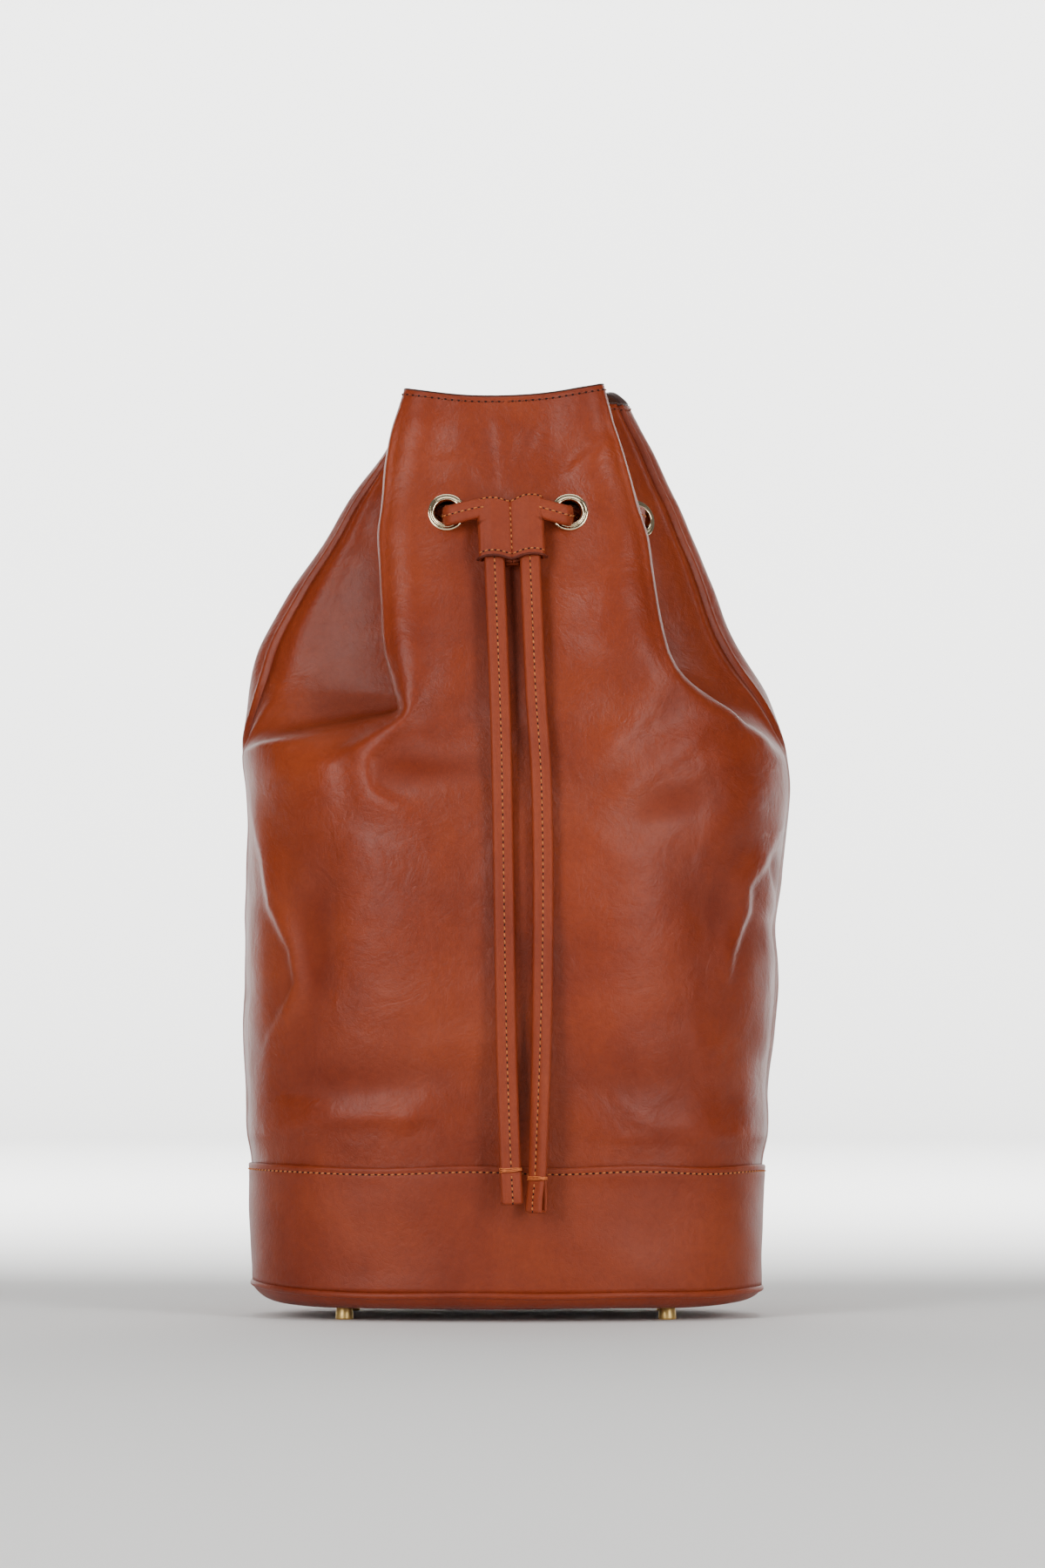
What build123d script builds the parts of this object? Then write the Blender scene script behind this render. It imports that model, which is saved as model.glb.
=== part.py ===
from build123d import *
import math
import os

# Drawstring bucket bag in leather. Millimetres, +Z up, front towards -Y.
# Origin: the middle of the footprint, on the surface under the four feet.

# Base and band
BASE_HALF_WIDTH = 127.0
BASE_HALF_DEPTH = 87.0
BASE_ROUNDNESS = 2.5          # exponent of the base's rounded oblong outline
BAND_BOTTOM = 14.0
BAND_TOP = 75.0
BAND_TAPER = 1.5              # the band is this much narrower at its foot
BAND_WALL = 2.0
BAND_LEDGE = 0.8              # the band's wall is this much thicker under the leather's lower edge
BAND_PLAY = 0.1               # between the band and the leather inside it
PIPING_SIZE = 4.4
BASE_PANEL_LOW = 5.5
BOARD_TOP = 17.0

# Leather body
BODY_LOW = 66.0
BODY_TOP = 453.0
LEATHER = 1.8
SEAM_Y = 12.0                 # plane of the two side seams
FACING_LOW = 366.0
FACING_WALL = 1.2
LINING_WALL = 0.8
WASHER_WALL = 1.0

# Drawstring, its eyelets and its keeper
EYELET_Z = 392.0
EYELET_OUTER = 9.5
EYELET_HOLE = 5.9
EYELET_BACK = 1.6             # the barrel's rolled end stands this far behind the facing
EYELET_BORE_GAP = 0.92        # the punched hole's radius is this much larger than the eyelet's hole
WASHER_GAP = 0.3              # between the facing and the flat washer
STRAP_WIDTH = 10.0
STRAP_THICK = 4.0
LOOP_DIAMETER = 5.0
STRAP_STAND = 6.9             # middle of the strap ends in front of the leather
STRAP_START = 1.5             # the strap ends meet the held part this far behind the leather's outside
LOOP_INSIDE = 7.0             # the held strap's middle behind the leather, at a pleat and elsewhere
LOOP_INSIDE_OPEN = 8.5
LOOP_OUTSIDE = 8.0            # the held strap's middle in front of the leather, at a pleat and behind
LOOP_OUTSIDE_BACK = 7.5
SIDE_BENDS = [(66.0, 17.0), (63.0, 33.0), (52.0, 44.0)]     # the held strap inside the side, (x, y)
KEEPER_WIDTH = 33.0
KEEPER_HEIGHT = 31.0
KEEPER_WALL = 1.6
KEEPER_PLAY = 0.5
KEEPER_OPEN = 13.0            # height at the top where the strap ends come in from the sides
KEEPER_RISE = 5.4             # the keeper's top edge above the middle of the straps at the eyelets
KEEPER_ROUND = 2.24           # radius of its upright edges
STRIP_WIDTH = 6.0
STRIP_THICK = 1.1
STRIP_PEEP = 2.2              # the strip shows this far below the sleeve
SLOPE_LOW = 312.0             # the straps' slope is the front's between this height and the eyelets

# Strap ends: points (x, y, z) below the eyelets, top to tip; y is left out where it follows the slope
TAIL_LEFT = [(-6.3, None, None), (-2.1, None, 298.0), (-1.2, None, 266.0), (-0.2, -98.6, 206.0),
             (0.7, -98.2, 142.0), (2.0, -99.0, 98.0), (3.7, -99.4, 57.0)]
TAIL_RIGHT = [(11.0, None, None), (15.2, None, 298.0), (17.9, None, 266.0), (18.9, -98.9, 208.0),
              (18.1, -98.0, 140.0), (16.9, -98.9, 96.0), (15.2, -99.6, 53.0)]
BELLY_TURN = 8.0              # degrees from upright of the run over the belly's shoulder

# Feet and ring tabs
FOOT_X = 78.5
FOOT_Y = 46.0
FOOT_RADIUS = 4.4
FOOT_HEIGHT = 6.6
FOOT_EDGE = 0.5
STUD_RADIUS = 1.5
STUD_TOP = 0.9                # the stud's pin stands this far above the board
FOOT_WASHER_RADIUS = 5.5
FOOT_WASHER_WALL = 0.8
TAB_WALL = 1.4
TAB_LENGTH = 28.0
TAB_WIDTH = 14.0
TAB_STAND = 0.5               # the tab's back face in front of the leather
RIVET_UP = 18.0               # rivet above the ring's bar
RING_WIRE = 3.0
RING_PLAY = 0.25
RING_HALF_WIDTH = 10.0
RING_DROP = 15.0
RING_CORNER = 2.6
RING_STAND = RING_WIRE / 2 + RING_PLAY + TAB_WALL     # ring bar's axis in front of the tab's back face

# Height tables: (height, value), joined smoothly
SIDE_HALF = [(66, 124.6), (76, 125.0), (110, 126.0), (150, 128.5), (210, 130.5), (255, 131.5),
             (280, 131.5), (300, 128.5), (320, 121.0), (340, 111.0), (360, 101.0), (380, 89.5),
             (400, 78.5), (425, 65.0), (453, 56.5)]
FRONT_DEPTH = [(66, 84.6), (76, 85.0), (110, 87.0), (160, 90.0), (220, 92.0), (260, 91.0),
               (300, 84.5), (340, 73.0), (380, 61.0), (420, 50.5), (453, 45.0)]
BACK_DEPTH = [(66, 84.6), (76, 85.0), (110, 87.0), (160, 90.0), (220, 92.0), (260, 91.0),
              (300, 84.0), (340, 72.0), (380, 59.5), (420, 49.0), (453, 43.0)]
RIDGE_RIGHT = [(66, 84.0), (250, 92.0), (300, 88.0), (315, 82.0), (330, 77.0), (352, 73.0),
               (379, 69.0), (395, 64.5), (414, 59.0), (431, 53.0), (453, 47.0)]
RIDGE_LEFT = [(66, 84.0), (250, 80.0), (300, 58.0), (325, 59.0), (352, 60.5), (379, 61.0),
              (405, 59.0), (425, 56.5), (453, 49.0)]
PLEAT_START = 262.0
PLEAT_FULL = 335.0

# Places: each eyelet's guide point, each ring tab's x, height and whether it sits on the upright band
EYELETS = {"eyelet_front_right": 1, "eyelet_pleat_right_front": 4, "eyelet_pleat_right_back": 6,
           "eyelet_back_right": 11, "eyelet_back_left": 13, "eyelet_pleat_left_back": 18,
           "eyelet_pleat_left_front": 20, "eyelet_front_left": 23}
TABS = {"top": (0.0, 322.0, False), "left": (-62.0, 44.0, True), "right": (62.0, 44.0, True)}

# The ring of guide points: angle on the open outline, then the gathered place as
# (share of ridge half width, share of side half width, share of front depth, share of back depth)
GUIDES = [(-72.0, (0.475, 0.00, 1.00, 0.00)),
          (-56.0, (0.90, 0.00, 0.99, 0.00)),
          (-46.0, (1.00, 0.00, 0.89, 0.00)),
          (-36.0, (0.93, 0.00, 0.62, 0.00)),
          (-25.0, (0.80, 0.00, 0.37, 0.00)),
          (-14.0, (0.50, 0.38, 0.16, 0.00)),
          (-2.0, (0.00, 0.93, 0.00, 0.06)),
          (10.0, (0.00, 1.00, 0.00, 0.24)),
          (26.0, (0.00, 0.93, 0.00, 0.52)),
          (47.0, (0.00, 0.76, 0.00, 0.88)),
          (68.0, (0.00, 0.42, 0.00, 0.99))]
LEFT_FOLD = 5                 # on the left this guide point lies deeper in the pleat
LEFT_FOLD_PLACE = (0.64, 0.19, 0.22, 0.00)


def along(table, height):
    """Value of a height table at a height: a cubic through the table's points."""
    low = 0
    while low < len(table) - 2 and height > table[low + 1][0]:
        low += 1
    (z0, v0), (z1, v1) = table[low], table[low + 1]
    slope = (v1 - v0) / (z1 - z0)
    before = after = slope
    if low > 0:
        before = (slope + (v0 - table[low - 1][1]) / (z0 - table[low - 1][0])) / 2
    if low < len(table) - 2:
        after = (slope + (table[low + 2][1] - v1) / (table[low + 2][0] - z1)) / 2
    t = (height - z0) / (z1 - z0)
    span = z1 - z0
    return (v0 * (1 + 2 * t) * (1 - t) ** 2 + v1 * t * t * (3 - 2 * t)
            + before * span * t * (1 - t) ** 2 - after * span * t * t * (1 - t))


def gathered(height):
    """How far the pleats are drawn in: 0 on the open belly, 1 at the neck."""
    t = min(max((height - PLEAT_START) / (PLEAT_FULL - PLEAT_START), 0.0), 1.0)
    return t * t * (3 - 2 * t)


def oblong(angle, half_width, half_depth):
    """Point of the rounded oblong outline at an angle in degrees."""
    c, s = math.cos(math.radians(angle)), math.sin(math.radians(angle))
    power = 2 / BASE_ROUNDNESS
    return (half_width * math.copysign(abs(c) ** power, c),
            half_depth * math.copysign(abs(s) ** power, s))


def guide_ring(height):
    """Guide points of the leather's outside at a height, from front middle, right side first."""
    side, front, back = (along(t, height) for t in (SIDE_HALF, FRONT_DEPTH, BACK_DEPTH))
    pull = gathered(height)
    halves = []
    for sign, ridge_table in ((1, RIDGE_RIGHT), (-1, RIDGE_LEFT)):
        ridge = along(ridge_table, height)
        points = []
        for i, (angle, place) in enumerate(GUIDES):
            if sign < 0 and i == LEFT_FOLD:
                place = LEFT_FOLD_PLACE
            by_ridge, by_side, by_front, by_back = place
            x_open, y_open = oblong(angle, side, front if angle < 0 else back)
            x_pleat = by_ridge * ridge + by_side * side
            y_pleat = by_back * back - by_front * front
            points.append((sign * (x_open + pull * (x_pleat - x_open)),
                           y_open + pull * (y_pleat - y_open)))
        halves.append(points)
    right, left = halves
    return [(0.0, -front)] + right + [(0.0, back)] + left[::-1]


def inset_ring(points, inset):
    """The ring moved inwards by an inset, along the normal at each point."""
    moved = []
    count = len(points)
    for i, (x, y) in enumerate(points):
        (xa, ya), (xb, yb) = points[i - 1], points[(i + 1) % count]
        dx, dy = xb - xa, yb - ya
        size = math.hypot(dx, dy)
        moved.append((x - inset * dy / size, y + inset * dx / size))
    return moved


def closed_wire(points, height):
    """A smooth closed curve through plan points at one height."""
    return Wire([Edge.make_spline([(x, y, height) for x, y in points], periodic=True)])


def body_solid(low, high, inset):
    """The bag's form between two heights, inset from the leather's outside."""
    steps = max(2, round((high - low) / 24))
    heights = [low + (high - low) * i / steps for i in range(steps + 1)]
    return Solid.make_loft([closed_wire(inset_ring(guide_ring(z), inset), z) for z in heights])


def level_slab(low, high):
    """A wide slab that keeps what lies between two heights."""
    return Pos(0, 0, (low + high) / 2) * Box(400, 400, high - low)


def base_outline(inset, height):
    """The base's outline, inset, as a wire."""
    points = [oblong(a, BASE_HALF_WIDTH - inset, BASE_HALF_DEPTH - inset) for a in range(-90, 270, 15)]
    return closed_wire(points, height)


def base_slab(inset, low, high):
    """A flat slab with the base's outline."""
    return Solid.make_loft([base_outline(inset, low), base_outline(inset, high)], ruled=True)


def base_band():
    """The upright band round the bottom, a little narrower at its foot; the leather stands inside its top."""
    outer = Solid.make_loft([base_outline(BAND_TAPER, BAND_BOTTOM), base_outline(0, BAND_TOP)], ruled=True)
    lower = Solid.make_loft([base_outline(BAND_TAPER + BAND_WALL, BAND_BOTTOM - 1),
                             base_outline(BAND_WALL + BAND_LEDGE, BODY_LOW)], ruled=True)
    upper = body_solid(BODY_LOW, BODY_TOP, -BAND_PLAY)
    return outer - lower - upper


def bottom_piping():
    """The welt in the seam between band and base panel."""
    low = BAND_BOTTOM - PIPING_SIZE
    steps = [(0.9, low), (0.0, low + 1.0), (-0.5, low + PIPING_SIZE / 2),
             (0.0, BAND_BOTTOM - 1.0), (0.9, BAND_BOTTOM)]
    outer = Solid.make_loft([base_outline(inset, z) for inset, z in steps], ruled=True)
    return outer - base_slab(PIPING_SIZE, low - 1, BAND_BOTTOM + 1)


def base_panel():
    """The leather base, bellied downwards inside the welt."""
    low = BASE_PANEL_LOW
    steps = [(34.0, low), (14.0, low + 1.0), (6.5, low + 2.6), (PIPING_SIZE, low + 4.4),
             (PIPING_SIZE, BAND_BOTTOM)]
    return Solid.make_loft([base_outline(inset, z) for inset, z in steps], ruled=True)


def base_board():
    """The stiff board on the base panel, inside the band."""
    return base_slab(BAND_WALL + BAND_TAPER + 0.3, BAND_BOTTOM, BOARD_TOP)


def lining_cup():
    """The cloth lining's lower part: a floor on the board and a wall inside the band."""
    inset = BAND_WALL + BAND_TAPER + 0.4
    low = BOARD_TOP + WASHER_WALL
    outer = base_slab(inset, low, BODY_LOW)
    inner = base_slab(inset + LINING_WALL, low + LINING_WALL, BODY_LOW + 1)
    return outer - inner


def eyelet_place(index):
    """Middle and outward normal of the leather at a guide point of the eyelets' height."""
    ring = guide_ring(EYELET_Z)
    here = Vector(*ring[index], EYELET_Z)
    across = Vector(*ring[(index + 1) % len(ring)], 0) - Vector(*ring[index - 1], 0)
    up = Vector(*guide_ring(EYELET_Z + 3)[index], 6) - Vector(*guide_ring(EYELET_Z - 3)[index], 0)
    return here, across.cross(up).normalized()


def turned(profile, here, normal):
    """A profile of (radius, height) points turned round an axis at a place."""
    face = make_face(Polyline(*[(r, 0, z) for r, z in profile], close=True))
    return Plane(origin=here, z_dir=normal) * revolve(face, Axis.Z)


def eyelet(here, normal):
    """A two-step grommet: rolled outer rim, raised inner lip and a barrel through the leather."""
    hole, outer = EYELET_HOLE, EYELET_OUTER
    back = -LEATHER - FACING_WALL - EYELET_BACK
    profile = [(hole, back), (hole + 0.9, back), (hole + 0.9, -0.2), (outer - 0.3, -0.2), (outer, 0.4),
               (outer - 0.5, 1.2), (outer - 1.5, 1.4), (hole + 1.6, 1.3), (hole + 1.1, 1.9),
               (hole + 0.5, 2.0), (hole, 1.6)]
    return turned(profile, here, normal)


def eyelet_washer(here, normal):
    """The flat ring that closes the eyelet on the inside."""
    top = -LEATHER - FACING_WALL - WASHER_GAP
    inner, outer = EYELET_HOLE + 0.95, EYELET_OUTER - 0.4
    return turned([(inner, top - 0.9), (outer, top - 0.9), (outer, top), (inner, top)], here, normal)


def eyelet_bore(here, normal):
    """The hole punched for an eyelet."""
    return Plane(origin=here, z_dir=normal) * Cylinder(EYELET_HOLE + EYELET_BORE_GAP, 16)


def rounded_path(points):
    """Straight runs joined by tangent arcs as large as the runs allow, with the arcs' radii."""
    radii = []
    for before, here, after in zip(points, points[1:], points[2:]):
        first, second = here - before, after - here
        half = math.radians(first.get_angle(second) / 2)
        radii.append(0.45 * min(first.length, second.length) / math.tan(half))
    path = FilletPolyline(*points, radius=radii)
    return path, radii


def report(name, solid, section, path, radii):
    """Print a cord's arcs and compare its volume with section times length."""
    turns = [round(r, 1) for r in radii]
    print(name, "length", round(path.length, 1), "radii", turns,
          "volume ratio", round(solid.volume / (section * path.length), 4))


def strap_tail(name, eyelet_index, places):
    """One loose end of the strap: out of its eyelet, across to the keeper, down the front."""
    here, normal = eyelet_place(eyelet_index)
    start = here - normal * STRAP_START
    level = here + normal * STRAP_STAND
    points = [start, level]
    slope = keeper_slope()
    shoulder = math.tan(math.radians(BELLY_TURN))
    for x, y, z in places:
        if z is None:
            point = Vector(x, level.Y, level.Z)
        elif y is None and z > 290:
            point = Vector(x, points[-1].Y - (points[-1].Z - z) * slope, z)
        elif y is None:
            point = Vector(x, points[-1].Y - (points[-1].Z - z) * shoulder, z)
        else:
            point = Vector(x, y, z)
        points.append(point)
    path, radii = rounded_path(points)
    width_dir = (points[2] - points[1]).cross(normal)
    plane = Plane(origin=start, x_dir=width_dir, z_dir=normal)
    solid = sweep(plane * Rectangle(STRAP_WIDTH, STRAP_THICK), path=path)
    report(name, solid, STRAP_WIDTH * STRAP_THICK, path, radii)
    return solid


def keeper_slope():
    """Run of the front panel towards -Y per millimetre down, between the neck and the shoulder."""
    return (along(FRONT_DEPTH, SLOPE_LOW) - along(FRONT_DEPTH, EYELET_Z)) / (EYELET_Z - SLOPE_LOW)


def drawstring_loop():
    """The part of the strap held in the eyelets, woven in and out round the neck."""
    def beside(index, reach):
        here, normal = eyelet_place(index)
        return here + normal * reach

    inside, outside = -LOOP_INSIDE, LOOP_OUTSIDE
    left_side = [Vector(-x, y, EYELET_Z) for x, y in SIDE_BENDS]
    right_side = [Vector(x, y, EYELET_Z) for x, y in reversed(SIDE_BENDS)]
    points = [beside(23, -STRAP_START), beside(23, -LOOP_INSIDE_OPEN), beside(20, inside),
              beside(20, outside), beside(18, outside), beside(18, inside)]
    points += left_side
    points += [beside(13, -LOOP_INSIDE_OPEN), beside(13, LOOP_OUTSIDE_BACK),
               beside(11, LOOP_OUTSIDE_BACK), beside(11, -LOOP_INSIDE_OPEN)]
    points += right_side
    points += [beside(6, inside), beside(6, outside), beside(4, outside), beside(4, inside),
               beside(1, -LOOP_INSIDE_OPEN), beside(1, -STRAP_START)]
    path, radii = rounded_path(points)
    plane = Plane(origin=points[0], z_dir=points[1] - points[0])
    solid = sweep(plane * Circle(LOOP_DIAMETER / 2), path=path)
    report("drawstring_loop", solid, math.pi * LOOP_DIAMETER ** 2 / 4, path, radii)
    return solid


def keeper_plane():
    """Frame of the keeper: X across, Y up along the straps, Z away from the bag; middle of both straps."""
    here, normal = eyelet_place(1)
    level = here + normal * STRAP_STAND
    middle_x = (TAIL_LEFT[0][0] + TAIL_RIGHT[0][0]) / 2
    low_x = (TAIL_LEFT[1][0] + TAIL_RIGHT[1][0]) / 2
    drop = level.Z - TAIL_LEFT[1][2]
    up = Vector(middle_x - low_x, keeper_slope() * drop, drop).normalized()
    across = Vector(1, 0, up.X * -1).normalized()
    outward = across.cross(up).normalized()
    across = up.cross(outward)
    top = Vector(middle_x, level.Y, level.Z) + up * KEEPER_RISE
    return Plane(origin=top, x_dir=across, z_dir=outward), up


def keeper_sleeve():
    """The double sleeve that slides on both strap ends, open behind at the top."""
    plane, _ = keeper_plane()
    half_gap = STRAP_THICK / 2 + KEEPER_PLAY
    thick = 2 * (half_gap + KEEPER_WALL)
    spread = (TAIL_RIGHT[0][0] - TAIL_LEFT[0][0]) / 2
    block = Pos(0, -KEEPER_HEIGHT / 2, 0) * Box(KEEPER_WIDTH, KEEPER_HEIGHT, thick)
    block = fillet(block.edges().filter_by(Axis.Y), KEEPER_ROUND)
    channel_width = STRAP_WIDTH + 2.8 * KEEPER_PLAY
    for side in (-1, 1):
        channel = Box(channel_width, KEEPER_HEIGHT + 2, 2 * half_gap)
        block -= Pos(side * spread, -KEEPER_HEIGHT / 2, 0) * channel
    behind = thick / 2 + half_gap
    opening = Box(KEEPER_WIDTH + 2, KEEPER_OPEN, behind)
    block -= Pos(0, -KEEPER_OPEN / 2, half_gap - behind / 2) * opening
    return plane * block


def keeper_strip():
    """The strip that closes the sleeve's middle seam at the back and peeps out below."""
    plane, _ = keeper_plane()
    back = -(STRAP_THICK / 2 + KEEPER_PLAY + KEEPER_WALL)
    low = KEEPER_HEIGHT + STRIP_PEEP
    length = low - KEEPER_OPEN - 1.0
    strip = Box(STRIP_WIDTH, length, STRIP_THICK)
    return plane * (Pos(0, length / 2 - low, back - STRIP_THICK / 2) * strip)


def foot(x, y):
    """A turned foot stud: a slightly tapered head and a pin up through base panel and board."""
    radius, top = FOOT_RADIUS, FOOT_HEIGHT
    pin_top = BOARD_TOP + STUD_TOP
    profile = [(0, 0), (radius - FOOT_EDGE, 0), (radius, FOOT_EDGE), (radius - 0.4, top),
               (STUD_RADIUS, top), (STUD_RADIUS, pin_top), (0, pin_top)]
    return turned(profile, Vector(x, y, 0), Vector(0, 0, 1))


def foot_washer(x, y):
    """The washer that holds a foot on the board."""
    hole, outer = STUD_RADIUS + 0.05, FOOT_WASHER_RADIUS
    top = BOARD_TOP + FOOT_WASHER_WALL
    profile = [(hole, BOARD_TOP), (outer, BOARD_TOP), (outer, top), (hole, top)]
    return turned(profile, Vector(x, y, 0), Vector(0, 0, 1))


def back_plane(x, z, upright):
    """Frame on the back at a place: X across, Y up, Z outwards."""
    if upright:
        share = abs(x) / BASE_HALF_WIDTH
        half_depth = BASE_HALF_DEPTH * (1 - share ** BASE_ROUNDNESS) ** (1 / BASE_ROUNDNESS)
        lean = BASE_HALF_DEPTH * share ** (BASE_ROUNDNESS - 1) / BASE_HALF_WIDTH
        normal = Vector(math.copysign(lean, x), 1, 0).normalized()
        origin = Vector(x, half_depth, z) + normal * TAB_STAND
        return Plane(origin=origin, x_dir=Vector(0, 0, 1).cross(normal), z_dir=normal)
    drop = (along(BACK_DEPTH, z - 15) - along(BACK_DEPTH, z + 15)) / 30
    normal = Vector(0, 1, drop).normalized()
    origin = Vector(x, along(BACK_DEPTH, z), z) + normal * TAB_STAND
    return Plane(origin=origin, x_dir=(-1, 0, 0), z_dir=normal)


def ring_tab(plane):
    """A folded leather tab: a flat double tongue sewn to the bag, and a roll round the ring's bar."""
    tongue = Pos(0, TAB_LENGTH / 2, TAB_WALL) * Box(TAB_WIDTH, TAB_LENGTH, 2 * TAB_WALL)
    barrel = Pos(0, 0, RING_STAND) * Rot(0, 90, 0) * Cylinder(RING_STAND, TAB_WIDTH)
    bore = Pos(0, 0, RING_STAND) * Rot(0, 90, 0) * Cylinder(RING_WIRE / 2 + RING_PLAY, 60)
    return plane * (tongue + barrel - bore)


def d_ring(plane):
    """A D-ring: a straight bar in the tab's roll and a rounded bow hanging below."""
    w, d = RING_HALF_WIDTH, RING_DROP
    corners = [(w, 0), (w, -d * 0.55), (w * 0.45, -d), (-w * 0.45, -d), (-w, -d * 0.55), (-w, 0)]
    points = [Vector(x, y, RING_STAND) for x, y in corners]
    path = FilletPolyline(*points, radius=RING_CORNER, close=True)
    start = Plane(origin=path @ 0, z_dir=path % 0)
    return plane * sweep(start * Circle(RING_WIRE / 2), path=path)


def tab_rivet(plane):
    """A double-cap rivet through the tab's tongue into the leather."""
    top = 2 * TAB_WALL
    profile = [(0, -0.4), (1.4, -0.4), (1.4, top), (4.0, top), (3.6, top + 0.9), (2.2, top + 1.4),
               (0, top + 1.5)]
    face = make_face(Polyline(*[(r, 0, z) for r, z in profile], close=True))
    return plane * (Pos(0, RIVET_UP, 0) * revolve(face, Axis.Z))


def skin_parts():
    """The body's two panels, facing and lining wall, punched for the eyelets, and the band round them."""
    body = body_solid(BODY_LOW, BODY_TOP, 0.0)
    inside = body_solid(BODY_LOW - 2, BODY_TOP + 2, LEATHER)
    band = base_band()
    shell = body - inside
    facing = inside - body_solid(BODY_LOW - 4, BODY_TOP + 4, LEATHER + FACING_WALL)
    facing = facing & level_slab(FACING_LOW, BODY_TOP)
    wall = inside - body_solid(BODY_LOW - 4, BODY_TOP + 4, LEATHER + LINING_WALL)
    wall = wall & level_slab(BODY_LOW, FACING_LOW - 0.5)
    for index in EYELETS.values():
        here, normal = eyelet_place(index)
        tools = [eyelet_bore(here, normal), eyelet(here, normal), eyelet_washer(here, normal)]
        for tool in tools:
            shell -= tool
            facing -= tool
    front = shell - Pos(0, SEAM_Y + 250, 250) * Box(600, 500, 600)
    back = shell - Pos(0, SEAM_Y - 250, 250) * Box(600, 500, 600)
    return {"body_front_panel": front, "body_back_panel": back, "mouth_facing": facing,
            "lining_wall": wall, "base_band": band}


def main():
    os.makedirs("parts", exist_ok=True)
    parts = skin_parts()
    feet = [(-FOOT_X, -FOOT_Y), (FOOT_X, -FOOT_Y), (-FOOT_X, FOOT_Y), (FOOT_X, FOOT_Y)]
    foot_names = ["foot_front_left", "foot_front_right", "foot_back_left", "foot_back_right"]
    studs = [foot(x, y) for x, y in feet]
    panel, board = base_panel(), base_board()
    for stud in studs:
        panel -= stud
        board -= stud
    parts["bottom_piping"] = bottom_piping()
    parts["base_panel"] = panel
    parts["base_board"] = board
    parts["lining_cup"] = lining_cup()
    for name, index in EYELETS.items():
        parts[name] = eyelet(*eyelet_place(index))
    parts["eyelet_washers"] = Compound(children=[eyelet_washer(*eyelet_place(i)) for i in EYELETS.values()])
    parts["drawstring_loop"] = drawstring_loop()
    parts["drawstring_tail_left"] = strap_tail("drawstring_tail_left", 23, TAIL_LEFT)
    parts["drawstring_tail_right"] = strap_tail("drawstring_tail_right", 1, TAIL_RIGHT)
    parts["keeper_sleeve"] = keeper_sleeve()
    parts["keeper_strip"] = keeper_strip()
    for name, stud in zip(foot_names, studs):
        parts[name] = stud
    parts["foot_washers"] = Compound(children=[foot_washer(x, y) for x, y in feet])
    rivets = []
    for name, (x, z, upright) in TABS.items():
        plane = back_plane(x, z, upright)
        rivet = tab_rivet(plane)
        rivets.append(rivet)
        parts["ring_tab_" + name] = ring_tab(plane) - rivet
        parts["d_ring_" + name] = d_ring(plane)
        bar = plane.from_local_coords(Vector(0, 0, RING_STAND))
        print("d_ring_" + name, "axis", plane.x_dir, "through", bar)
    parts["tab_rivets"] = Compound(children=rivets)
    _, up = keeper_plane()
    print("keeper axis up", up)
    for name, solid in parts.items():
        export_step(solid, "parts/" + name + ".step")


main()
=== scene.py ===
import math

import bpy
import numpy as np
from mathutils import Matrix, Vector


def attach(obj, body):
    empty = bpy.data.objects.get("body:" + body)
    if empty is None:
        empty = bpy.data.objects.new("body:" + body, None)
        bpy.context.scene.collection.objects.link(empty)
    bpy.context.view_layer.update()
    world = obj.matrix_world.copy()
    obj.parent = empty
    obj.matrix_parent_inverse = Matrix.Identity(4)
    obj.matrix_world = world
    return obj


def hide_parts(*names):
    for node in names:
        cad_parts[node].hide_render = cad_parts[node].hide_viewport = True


# Drawstring bucket bag in cognac leather. Metres, +Z up, front towards -Y.

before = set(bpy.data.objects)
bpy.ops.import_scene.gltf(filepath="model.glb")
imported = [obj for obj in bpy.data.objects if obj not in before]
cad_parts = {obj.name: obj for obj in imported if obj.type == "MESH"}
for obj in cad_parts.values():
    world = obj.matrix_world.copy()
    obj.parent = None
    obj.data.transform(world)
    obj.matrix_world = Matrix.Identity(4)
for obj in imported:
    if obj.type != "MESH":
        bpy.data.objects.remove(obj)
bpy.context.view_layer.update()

# ---------------------------------------------------------------- sizes

# Height tables of the leather's outside, (height, value), joined smoothly
SIDE_HALF = ((0.066, 0.1246), (0.076, 0.1250), (0.110, 0.1260), (0.150, 0.1285), (0.210, 0.1305),
             (0.255, 0.1315), (0.280, 0.1315), (0.300, 0.1285), (0.320, 0.1210), (0.340, 0.1110),
             (0.360, 0.1010), (0.380, 0.0895), (0.400, 0.0785), (0.425, 0.0650), (0.453, 0.0565))
FRONT_DEPTH = ((0.066, 0.0846), (0.076, 0.0850), (0.110, 0.0870), (0.160, 0.0900), (0.220, 0.0920),
               (0.260, 0.0910), (0.300, 0.0845), (0.340, 0.0730), (0.380, 0.0610), (0.420, 0.0505),
               (0.453, 0.0450))
BACK_DEPTH = ((0.066, 0.0846), (0.076, 0.0850), (0.110, 0.0870), (0.160, 0.0900), (0.220, 0.0920),
              (0.260, 0.0910), (0.300, 0.0840), (0.340, 0.0720), (0.380, 0.0595), (0.420, 0.0490),
              (0.453, 0.0430))
RIDGE_RIGHT = ((0.066, 0.0840), (0.250, 0.0920), (0.300, 0.0880), (0.315, 0.0820), (0.330, 0.0770),
               (0.352, 0.0730), (0.379, 0.0690), (0.395, 0.0645), (0.414, 0.0590), (0.431, 0.0530),
               (0.453, 0.0470))
RIDGE_LEFT = ((0.066, 0.0840), (0.250, 0.0780), (0.276, 0.0620), (0.292, 0.0510), (0.306, 0.0530),
              (0.325, 0.0575), (0.352, 0.0600), (0.379, 0.0610), (0.405, 0.0590), (0.425, 0.0565),
              (0.453, 0.0490))
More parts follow.
